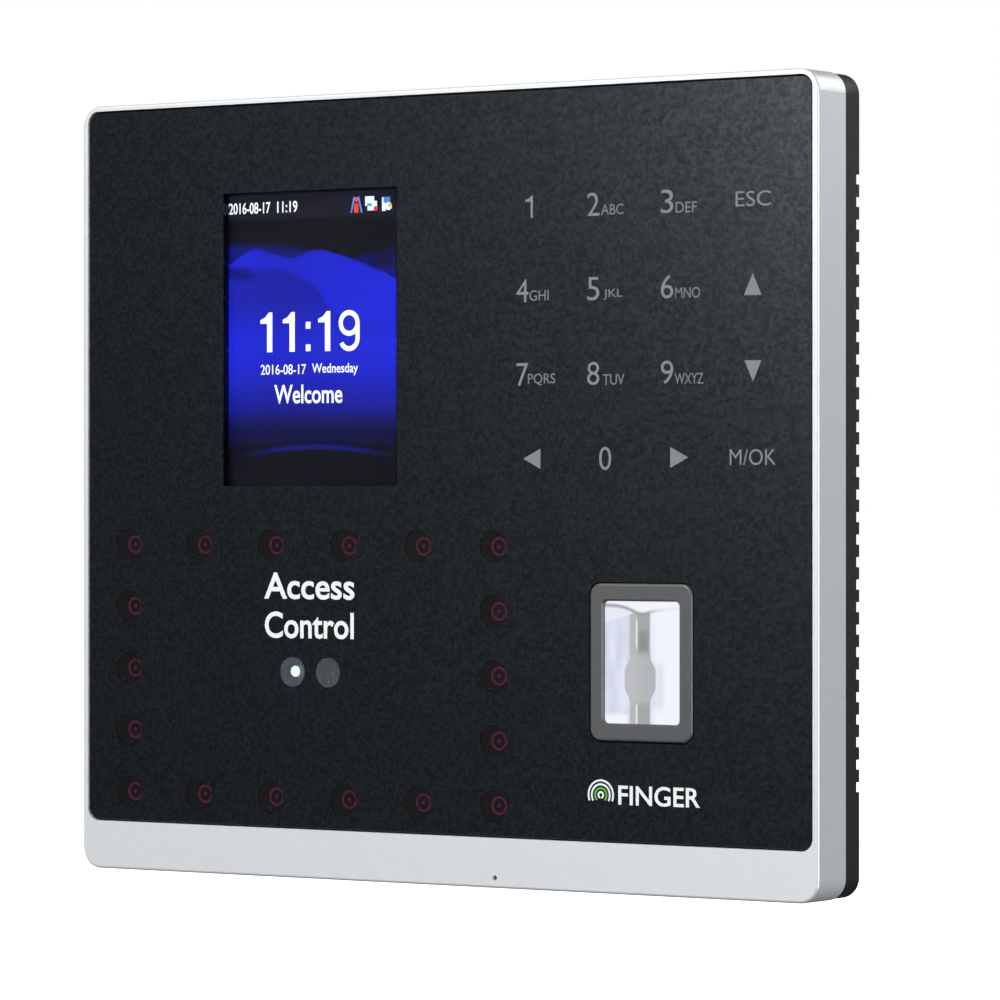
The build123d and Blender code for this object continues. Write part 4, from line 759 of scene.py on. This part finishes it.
def add_arc(made, centre, radius, width, start, sweep, back, thickness, steps=16, index=0):
    """Adds a flat strip that follows part of a circle, in millimetres and degrees."""
    before = len(made.faces)
    corners = [(radius, 0.0), (radius + width, 0.0), (radius + width, thickness), (radius, thickness)]
    verts = [made.verts.new(Vector((r, 0.0, lift)) * MM) for r, lift in corners]
    edges = [made.edges.new((verts[i], verts[(i + 1) % 4])) for i in range(4)]
    bmesh.ops.rotate(made, verts=verts, cent=(0, 0, 0), matrix=Matrix.Rotation(math.radians(start), 3, "Z"))
    turn = {"cent": (0, 0, 0), "axis": (0, 0, 1), "angle": math.radians(sweep), "steps": steps}
    bmesh.ops.spin(made, geom=verts + edges, use_merge=sweep == 360, **turn)
    made.faces.ensure_lookup_table()
    new_faces = made.faces[before:]
    strip = {vert for face in new_faces for vert in face.verts}
    open_edges = {edge for face in new_faces for edge in face.edges if edge.is_boundary}
    bmesh.ops.holes_fill(made, edges=list(open_edges), sides=4)
    made.faces.ensure_lookup_table()
    for face in made.faces[before:]:
        face.material_index = index
    middle = Vector((centre[0], back, centre[1])) * MM
    bmesh.ops.transform(made, matrix=Matrix.Translation(middle) @ STAND_UP, verts=list(strip))


def add_nine(made, centre, size, stroke, back, thickness):
    """Adds a figure nine from a ring, a stem and a curled foot, in millimetres."""
    x, z = centre
    radius = size[0] / 2 - stroke
    rise = (size[1] - size[0]) / 2
    add_arc(made, (x, z + rise), radius, stroke, 0, 360, back, thickness, steps=32)
    add_plate(made, (x + radius + stroke / 2, z), (stroke, 2 * rise), back - LAYER_STEP, thickness)
    add_arc(made, (x, z - rise), radius, stroke, 205, 155, back - 2 * LAYER_STEP, thickness)


# ---------------------------------------------------------------- operators
class TERMINAL_OT_housing_finishes(bpy.types.Operator):
    """Give the frame, panel, cover and reader surround their paint and plastic"""

    bl_idname = "terminal.housing_finishes"
    bl_label = "Housing finishes"

    def execute(self, context):
        look = context.scene.terminal_finish
        paint(["front_frame"], silver_paint(look))
        paint(["front_panel"], flaked_panel(look))
        paint(["rear_cover"], textured_cover(look))
        paint(["fingerprint_bezel"], satin_surround(look))
        paint(["reset_button", "tamper_plunger"], moulded("button_nylon", (0.34, 0.34, 0.34)))
        paint(["display_gasket", "fingerprint_gasket"], rubber("sealing_foam", (0.02, 0.02, 0.021)))
        paint(["microphone_boot"], rubber("microphone_rubber", (0.03, 0.03, 0.031), 0.8, 0.01))
        return {"FINISHED"}


class TERMINAL_OT_window_finishes(bpy.types.Operator):
    """Give the windows, lenses and lights their glass and clear plastic"""

    bl_idname = "terminal.window_finishes"
    bl_label = "Windows and lights"

    def execute(self, context):
        lamps = context.scene.terminal_lamps
        # node, finish, colour, roughness, index, transmission, haze, sheen
        windows = [
            ("display_window", "display_window_plastic", (0.97, 0.98, 1.0), 0.0, 1.1, 1.0, 0.01, 0.0),
            ("ir_windows", "infrared_window_plastic", (0.11, 0.1, 0.115), 0.0, 1.1, 0.94, 0.01, 0.6),
            ("camera_windows", "camera_window_glass", (0.3, 0.34, 0.38), 0.1, 1.03, 0.82, 0.08, 0.2),
            ("camera_lenses", "coated_lens_glass", (0.62, 0.68, 0.85), 0.0, 1.6, 0.85, 0.01, 0.2),
        ]
        for node, *finish in windows:
            paint([node], clear_plastic(*finish))
        paint(["ir_leds"], lamp_epoxy(lamps))
        paint(["fingerprint_prism"], lit_prism(lamps))
        paint(["fingerprint_lights"], lit_ink("reader_light", (0.8, 0.88, 1.0), lamps.reader_glow))
        paint(["display_backlight"], moulded("backlight_tray", (0.72, 0.73, 0.74), 0.5))
        paint(["display_glass"], moulded("display_cell_black", (0.006, 0.006, 0.008), 0.12, 0.5, 0.001))
        return {"FINISHED"}


class TERMINAL_OT_metal_finishes(bpy.types.Operator):
    """Give the chassis, wall plate, screws and sockets their metal"""

    bl_idname = "terminal.metal_finishes"
    bl_label = "Metal parts"

    def execute(self, context):
        metals = [
            (["wall_plate"], "plated_wall_plate", (0.6, 0.62, 0.64), 0.38, (1.0, 1.0, 0.06)),
            (["inner_chassis"], "plated_chassis", (0.58, 0.6, 0.61), 0.36, (0.06, 1.0, 1.0)),
            (["chassis_screws", "board_screws", "locking_screw"], "plated_screws", (0.62, 0.62, 0.6), 0.28),
            (["cover_screws"], "blackened_screws", (0.05, 0.05, 0.052), 0.4),
            (["locking_insert"], "turned_brass", (0.72, 0.52, 0.22), 0.3),
            (["microphone", "capacitors", "backup_battery"], "bright_can", (0.72, 0.72, 0.71), 0.22),
            (["network_socket", "usb_socket"], "tinned_shield", (0.7, 0.7, 0.69), 0.2, (1.0, 1.0, 0.08)),
            (["network_contacts", "header_pins"], "gold_plating", (0.85, 0.6, 0.22), 0.22),
            (["touch_electrodes"], "bare_copper", (0.68, 0.32, 0.17), 0.34, (0.1, 1.0, 1.0)),
        ]
        for nodes, *finish in metals:
            paint(nodes, drawn_metal(*finish))
        return {"FINISHED"}


class TERMINAL_OT_electronics_finishes(bpy.types.Operator):
    """Give the boards, chips, ribbons and mouldings inside their finishes"""

    bl_idname = "terminal.electronics_finishes"
    bl_label = "Electronics"

    def execute(self, context):
        green = solder_mask("green_board", (0.012, 0.12, 0.045), (0.03, 0.24, 0.09))
        boards = ["touch_board", "camera_board", "fingerprint_light_board", "fingerprint_board", "main_board"]
        paint(boards, green)
        paint(["ir_led_board"], solder_mask("black_board", (0.01, 0.01, 0.011), (0.03, 0.03, 0.03)))
        chips = ["touch_chips", "fingerprint_chip", "processor", "memory_chips"]
        paint(chips, moulded("chip_epoxy", (0.022, 0.022, 0.024), 0.55, 0.12, 0.008))
        paint(["touch_connector", "wiring_headers"], moulded("ivory_nylon", (0.68, 0.64, 0.5), 0.4))
        shrouds = ["ir_shroud", "camera_barrels", "fingerprint_housing", "fingerprint_camera"]
        paint(shrouds, moulded("matt_shroud", (0.009, 0.009, 0.01), 0.65, 0.2, 0.015))
        amber = moulded("amber_ribbon", (0.55, 0.22, 0.035), 0.28, 0.6, 0.004)
        paint(["display_ribbon", "touch_ribbon"], amber)
        paint(["inductors"], moulded("pressed_ferrite", (0.09, 0.09, 0.092), 0.6, 0.15, 0.02))
        holders = ["battery_holder", "buzzer", "speaker", "usb_insert", "reset_switch", "tamper_switch"]
        paint(holders, moulded("black_nylon", (0.018, 0.018, 0.019), 0.42))
        paint(["speaker_cone"], rubber("coated_paper_cone", (0.035, 0.035, 0.036), 0.9, 0.02))
        return {"FINISHED"}


class TERMINAL_OT_screen_picture(bpy.types.Operator):
    """Put the lit picture of waves on the display"""

    bl_idname = "terminal.screen_picture"
    bl_label = "Screen picture"

    def execute(self, context):
        look = context.scene.terminal_screen
        mid = centre_of("display_glass")
        made = bmesh.new()
        middle = (mid.x - PICTURE_LEFT, mid.z - PICTURE_DOWN)
        add_plate(made, middle, (look.width, look.height), SCREEN_FACE - 0.01, 2 * LIT_THICKNESS)
        finish_piece("screen_picture", made, [screen_waves(look)])
        return {"FINISHED"}


class TERMINAL_OT_screen_text(bpy.types.Operator):
    """Put the clock, date, greeting and status signs on the display"""

    bl_idname = "terminal.screen_text"
    bl_label = "Screen text and signs"

    def execute(self, context):
        look = context.scene.terminal_screen
        back = SCREEN_FACE - 0.05
        made = bmesh.new()
        words = [
            (look.date, (-44.75, 53.5), (9.9, 2.2), 0.014),
            (look.clock, (-35.75, 53.5), (4.8, 2.2), 0.014),
            (look.date, (-36.7, 22.45), (10.8, 1.95), 0.006),
            ("Wednesday", (-24.5, 22.3), (10.8, 2.4), 0.008),
            (look.greeting, (-30.8, 17.7), (16.1, 3.6), 0.014),
        ]
        for text, centre, size, weight in words:
            add_word(made, text, centre, size, back, LIT_THICKNESS, weight)
        clock_z = 29.6
        for x in (-40.75, -35.4, -27.0):
            add_one(made, (x, clock_z), (2.85, 7.6), back, LIT_THICKNESS, 0.44)
        for z in (30.8, 26.5):
            add_plate(made, (-30.8, z), (1.1, 1.3), back, LIT_THICKNESS)
        add_nine(made, (-21.15, clock_z), (4.9, 7.8), 0.95, back, LIT_THICKNESS)
        finish_piece("screen_words", made, [lit_ink("screen_white", (0.93, 0.95, 1.0))])
        colours = [
            lit_ink("sign_red", (0.75, 0.03, 0.02)),
            lit_ink("sign_blue", (0.06, 0.2, 0.6)),
            lit_ink("sign_white", (0.75, 0.9, 0.97)),
            lit_ink("sign_yellow", (0.8, 0.45, 0.05)),
        ]
        red, blue, white, yellow = range(4)
        signs = [
            ((-19.45, 54.35), (0.95, 0.95), 12, red),
            ((-19.45, 52.75), (1.0, 1.8), 4, red),
            ((-16.35, 54.0), (2.1, 1.8), 4, white),
            ((-15.75, 53.1), (2.2, 1.8), 4, white),
            ((-16.40, 53.3), (1.1, 0.5), 4, blue),
            ((-14.95, 52.55), (0.95, 0.95), 12, red),
            ((-13.05, 53.3), (0.85, 2.6), 4, white),
            ((-12.35, 54.1), (1.5, 1.1), 4, blue),
            ((-11.95, 52.9), (1.5, 1.5), 12, white),
            ((-11.70, 53.0), (0.85, 0.85), 12, yellow),
        ]
        made = bmesh.new()
        for layer, (centre, size, sides, colour) in enumerate(signs):
            add_plate(made, centre, size, back - LAYER_STEP * layer, LIT_THICKNESS, sides, index=colour)
        for slash, x in (("\\", -18.6), ("/", -20.3)):
            add_word(made, slash, (x, 53.4), (1.15, 3.0), back, LIT_THICKNESS, 0.02, blue)
        finish_piece("screen_signs", made, colours)
        return {"FINISHED"}


class TERMINAL_OT_key_legends(bpy.types.Operator):
    """Print the digits, letters, arrows and words of the touch keypad"""

    bl_idname = "terminal.key_legends"
    bl_label = "Key legends"

    def execute(self, context):
        look = context.scene.terminal_legends
        thin = -0.004  # narrows the strokes of the font
        rows = [51.6, 36.15, 20.65, 5.1]
        digit_columns = [20.0, 35.65, 51.65]
        digits = [("2", digit_columns[1], 0), ("3", digit_columns[2], 0)]
        digits += [(str(4 + column), digit_columns[column], 1) for column in range(3)]
        digits += [(str(7 + column), digit_columns[column], 2) for column in range(3)]
        digits.append(("0", 38.25, 3))
        made = bmesh.new()
        add_one(made, (21.5, rows[0]), (1.65, 4.1), PANEL_FACE, look.thickness, 0.3)
        for text, x, row in digits:
            add_word(made, text, (x, rows[row]), (2.65, 4.25), PANEL_FACE, look.thickness, thin)
        add_word(made, "ESC", (69.95, rows[0] - 0.05), (7.4, 2.75), PANEL_FACE, look.thickness, thin)
        add_word(made, "M/OK", (69.85, rows[3] + 0.1), (9.7, 2.85), PANEL_FACE, look.thickness, thin)
        finish_piece("key_digits", made, [printed_ink("key_ink", look.ink)])
        letters = [
            ("ABC", 39.8, 50.55, 4.9),
            ("DEF", 55.75, 50.45, 4.5),
            ("GHI", 23.7, 35.2, 4.25),
            ("JKL", 39.95, 35.05, 4.15),
            ("MNO", 56.05, 35.0, 5.3),
            ("PQRS", 24.25, 19.7, 6.05),
            ("TUV", 40.1, 19.5, 4.7),
            ("WXYZ", 56.35, 19.45, 6.15),
        ]
        made = bmesh.new()
        for text, x, z, width in letters:
            height = 2.2 if "Q" in text else 1.95
            add_word(made, text, (x, z), (width, height), PANEL_FACE, look.thickness, 0.004)
        finish_piece("key_letters", made, [printed_ink("letter_ink", look.faint_ink)])
        up, down, left, right = (math.radians(angle) for angle in (0, 180, 90, 270))
        arrows = [
            ((69.85, rows[1] + 0.05), (3.7, 3.95), up),
            ((69.9, rows[2]), (3.6, 3.8), down),
            ((22.1, rows[3]), (3.8, 3.75), left),
            ((54.25, rows[3] + 0.1), (3.85, 3.8), right),
        ]
        made = bmesh.new()
        for centre, size, turn in arrows:
            add_plate(made, centre, size, PANEL_FACE, look.thickness, 3, turn)
        finish_piece("key_arrows", made, [printed_ink("arrow_ink", look.ink)])
        return {"FINISHED"}


class TERMINAL_OT_front_words(bpy.types.Operator):
    """Print the two plain words over the cameras"""

    bl_idname = "terminal.front_words"
    bl_label = "Front words"

    def execute(self, context):
        look = context.scene.terminal_legends
        made = bmesh.new()
        add_word(made, look.first_word, (-28.95, -18.85), (21.3, 5.1), PANEL_FACE, look.thickness, 0.017)
        add_word(made, look.second_word, (-28.95, -26.3), (21.0, 5.1), PANEL_FACE, look.thickness, 0.017)
        finish_piece("front_words", made, [printed_ink("white_ink", look.white_ink)])
        return {"FINISHED"}


class TERMINAL_OT_finger_sign(bpy.types.Operator):
    """Print a plain finger sign and word under the reader"""

    bl_idname = "terminal.finger_sign"
    bl_label = "Finger sign"

    def execute(self, context):
        look = context.scene.terminal_legends
        made = bmesh.new()
        white, green = 0, 1
        centre = (37.3, -56.4)
        for ring, sweep in enumerate((330, 275, 245, 226)):
            start = 90 - sweep / 2
            radius = 0.35 + 0.72 * ring
            colour = green if ring == 1 else white
            add_arc(made, centre, radius, 0.36, start, sweep, PANEL_FACE, look.thickness, index=colour)
        add_word(made, "FINGER", (49.9, -56.3), (17.6, 3.6), PANEL_FACE, look.thickness, 0.014)
        leaf = (0.12, 0.42, 0.05)
        inks = [printed_ink("sign_white_ink", look.white_ink), printed_ink("sign_green_ink", leaf)]
        finish_piece("finger_sign", made, inks)
        return {"FINISHED"}


class TERMINAL_OT_lamp_caps(bpy.types.Operator):
    """Put a dark cap with a plum rim and bead over each infrared light"""

    bl_idname = "terminal.lamp_caps"
    bl_label = "Lamp caps"

    def execute(self, context):
        look = context.scene.terminal_lamps
        outer = look.cap_radius
        front = LAMP_TIP - CAP_LEAD
        back = LAMP_TIP + CAP_REACH
        bead = [(0.0, front), (0.25, front + 0.03), (0.4, front + 0.12), (0.46, front + 0.3)]
        rim = [(outer - 0.48, front + 0.3), (outer - 0.42, front + 0.05), (outer - 0.32, front)]
        wall = [(outer - 0.08, front), (outer, front + 0.1), (outer, back), (outer - 0.2, back)]
        inside = [(outer - 0.2, front + 0.8), (outer - 0.5, front + 0.6), (0.0, front + 0.6)]
        made = bmesh.new()
        for spot in LAMP_SPOTS:
            add_turned(made, bead + rim + wall + inside, spot)
        finish_piece("lamp_caps", made, [lamp_cap(look)])
        return {"FINISHED"}


class TERMINAL_OT_painted_lens_glint(bpy.types.Operator):
    """Set a small glowing white dome in the left camera, a painted highlight that stands in for the glint of
    light on the lens
    """

    bl_idname = "terminal.camera_lamp"
    bl_label = "Painted lens glint"

    def execute(self, context):
        off_centre = 1.25
        radius = 1.05
        rise = 0.4
        sunk = 0.15
        low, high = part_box("camera_lenses")
        lens_r = (high.z - low.z) / (2 * MM)
        x = low.x / MM + lens_r - off_centre
        front = low.y / MM - 0.05
        turns = [math.radians(angle) for angle in range(0, 90, 15)]
        dome = [(radius * math.cos(turn), front - rise * math.sin(turn)) for turn in turns]
        profile = [(0.0, front + sunk), (radius, front + sunk), *dome, (0.0, front - rise)]
        made = bmesh.new()
        add_turned(made, profile, (x, centre_of("camera_lenses").z))
        # the glowing white dome is a painted highlight: it stands in for the glint of studio light on the
        # left lens and is no lamp
        finish_piece("painted_lens_glint", made, [lit_ink("painted_glint_white", (1.0, 1.0, 1.0), 4.0)])
        return {"FINISHED"}


class TERMINAL_OT_stage(bpy.types.Operator):
    """Set up the pale floor, the soft studio lights and the camera"""

    bl_idname = "terminal.stage"
    bl_label = "Stage"

    def execute(self, context):
        look = context.scene.terminal_stage
        rear_share = 0.25
        self.floor(look)
        self.room(context, look)
        self.soft_light("key_light", (-0.45, -1.6, 1.45), (1.2, 1.0), look.key_power)
        self.soft_light("sheen_light", (-0.4, -1.45, 0.4), (0.5, 0.5), look.sheen_power)
        self.soft_light("side_light", (1.9, -0.6, -0.4), (1.2, 1.7), look.side_power)
        self.soft_light("rear_light", (0.9, 1.6, 0.9), (1.4, 1.2), look.side_power * rear_share)
        self.camera(context, look)
        return {"FINISHED"}

    def floor(self, look):
        """Wide pale floor with a matt, barely uneven surface."""
        made = bmesh.new()
        bmesh.ops.create_grid(made, x_segments=8, y_segments=8, size=20.0)
        bmesh.ops.translate(made, verts=made.verts, vec=(0.0, 0.0, CAD_BOX[0].z - look.floor_gap))
        mesh = bpy.data.meshes.new("studio_floor")
        made.to_mesh(mesh)
        made.free()
        floor = bpy.data.objects.new("studio_floor", mesh)
        bpy.context.scene.collection.objects.link(floor)
        finish = Finish("floor_paint", {"Emission Strength": 1.0, "Specular IOR Level": 0.1})
        finish.mottle((0.8, 0.8, 0.8), 900.0, 0.01)
        finish.rough(400.0, 0.85, 0.95)
        finish.feed("Emission Color", (1.0, 1.0, 1.0))
        mesh.materials.append(finish.material)
        floor.visible_diffuse = False
        floor.visible_glossy = False
        floor.visible_transmission = False

    def room(self, context, look):
        """White room to look at, dimmer as a light."""
        world = bpy.data.worlds.new("studio_room")
        world.use_nodes = True
        nodes, links = world.node_tree.nodes, world.node_tree.links
        light = nodes["Background"]
        light.inputs["Color"].default_value = (0.95, 0.97, 1.0, 1.0)
        light.inputs["Strength"].default_value = look.ambient
        white = nodes.new("ShaderNodeBackground")
        white.inputs["Color"].default_value = (1.0, 1.0, 1.0, 1.0)
        seen = nodes.new("ShaderNodeLightPath")
        choose = nodes.new("ShaderNodeMixShader")
        links.new(seen.outputs["Is Camera Ray"], choose.inputs[0])
        links.new(light.outputs[0], choose.inputs[1])
        links.new(white.outputs[0], choose.inputs[2])
        links.new(choose.outputs[0], nodes["World Output"].inputs[0])
        context.scene.world = world

    def soft_light(self, name, place, size, power):
        """Large rectangular light turned towards the terminal."""
        lamp = bpy.data.lights.new(name, "AREA")
        lamp.shape = "RECTANGLE"
        lamp.size, lamp.size_y = size
        lamp.energy = power
        holder = bpy.data.objects.new(name, lamp)
        holder.location = place
        holder.rotation_euler = (-Vector(place)).to_track_quat("-Z", "Y").to_euler()
        bpy.context.scene.collection.objects.link(holder)

    def camera(self, context, look):
        """Camera level with the terminal, to its right."""
        view = bpy.data.cameras.new("studio_camera")
        view.lens = look.camera_lens
        view.sensor_width = 36.0
        holder = bpy.data.objects.new("studio_camera", view)
        holder.location = look.camera_place
        holder.rotation_euler = (math.pi / 2, 0.0, look.camera_turn)
        context.scene.collection.objects.link(holder)
        context.scene.camera = holder
        context.scene.view_settings.view_transform = "Standard"


OPERATORS = [
    TERMINAL_OT_housing_finishes,
    TERMINAL_OT_window_finishes,
    TERMINAL_OT_metal_finishes,
    TERMINAL_OT_electronics_finishes,
    TERMINAL_OT_screen_picture,
    TERMINAL_OT_screen_text,
    TERMINAL_OT_key_legends,
    TERMINAL_OT_front_words,
    TERMINAL_OT_finger_sign,
    TERMINAL_OT_lamp_caps,
    TERMINAL_OT_painted_lens_glint,
    TERMINAL_OT_stage,
]
SETTINGS = {
    "terminal_finish": TerminalFinishSettings,
    "terminal_screen": TerminalScreenSettings,
    "terminal_legends": TerminalLegendSettings,
    "terminal_lamps": TerminalLampSettings,
    "terminal_stage": TerminalStageSettings,
}


class TERMINAL_PT_parts(bpy.types.Panel):
    """Lists the steps that dress the terminal"""

    bl_label = "Fingerprint terminal"
    bl_idname = "TERMINAL_PT_parts"
    bl_space_type = "VIEW_3D"
    bl_region_type = "UI"
    bl_category = "Terminal"

    def draw(self, context):
        for operator in OPERATORS:
            self.layout.operator(operator.bl_idname)
        for name, group in SETTINGS.items():
            box = self.layout.box()
            box.label(text=group.__doc__)
            for setting in group.__annotations__:
                box.prop(getattr(context.scene, name), setting)


def register():
    for group in (*SETTINGS.values(), *OPERATORS, TERMINAL_PT_parts):
        bpy.utils.register_class(group)
    for name, group in SETTINGS.items():
        setattr(bpy.types.Scene, name, PointerProperty(type=group))


def unregister():
    for name in SETTINGS:
        delattr(bpy.types.Scene, name)
    for group in reversed((*SETTINGS.values(), *OPERATORS, TERMINAL_PT_parts)):
        bpy.utils.unregister_class(group)


def main():
    """Dresses the terminal step by step."""
    register()
    for operator in OPERATORS:
        group, step = operator.bl_idname.split(".")
        getattr(getattr(bpy.ops, group), step)()


if __name__ == "__main__":
    main()
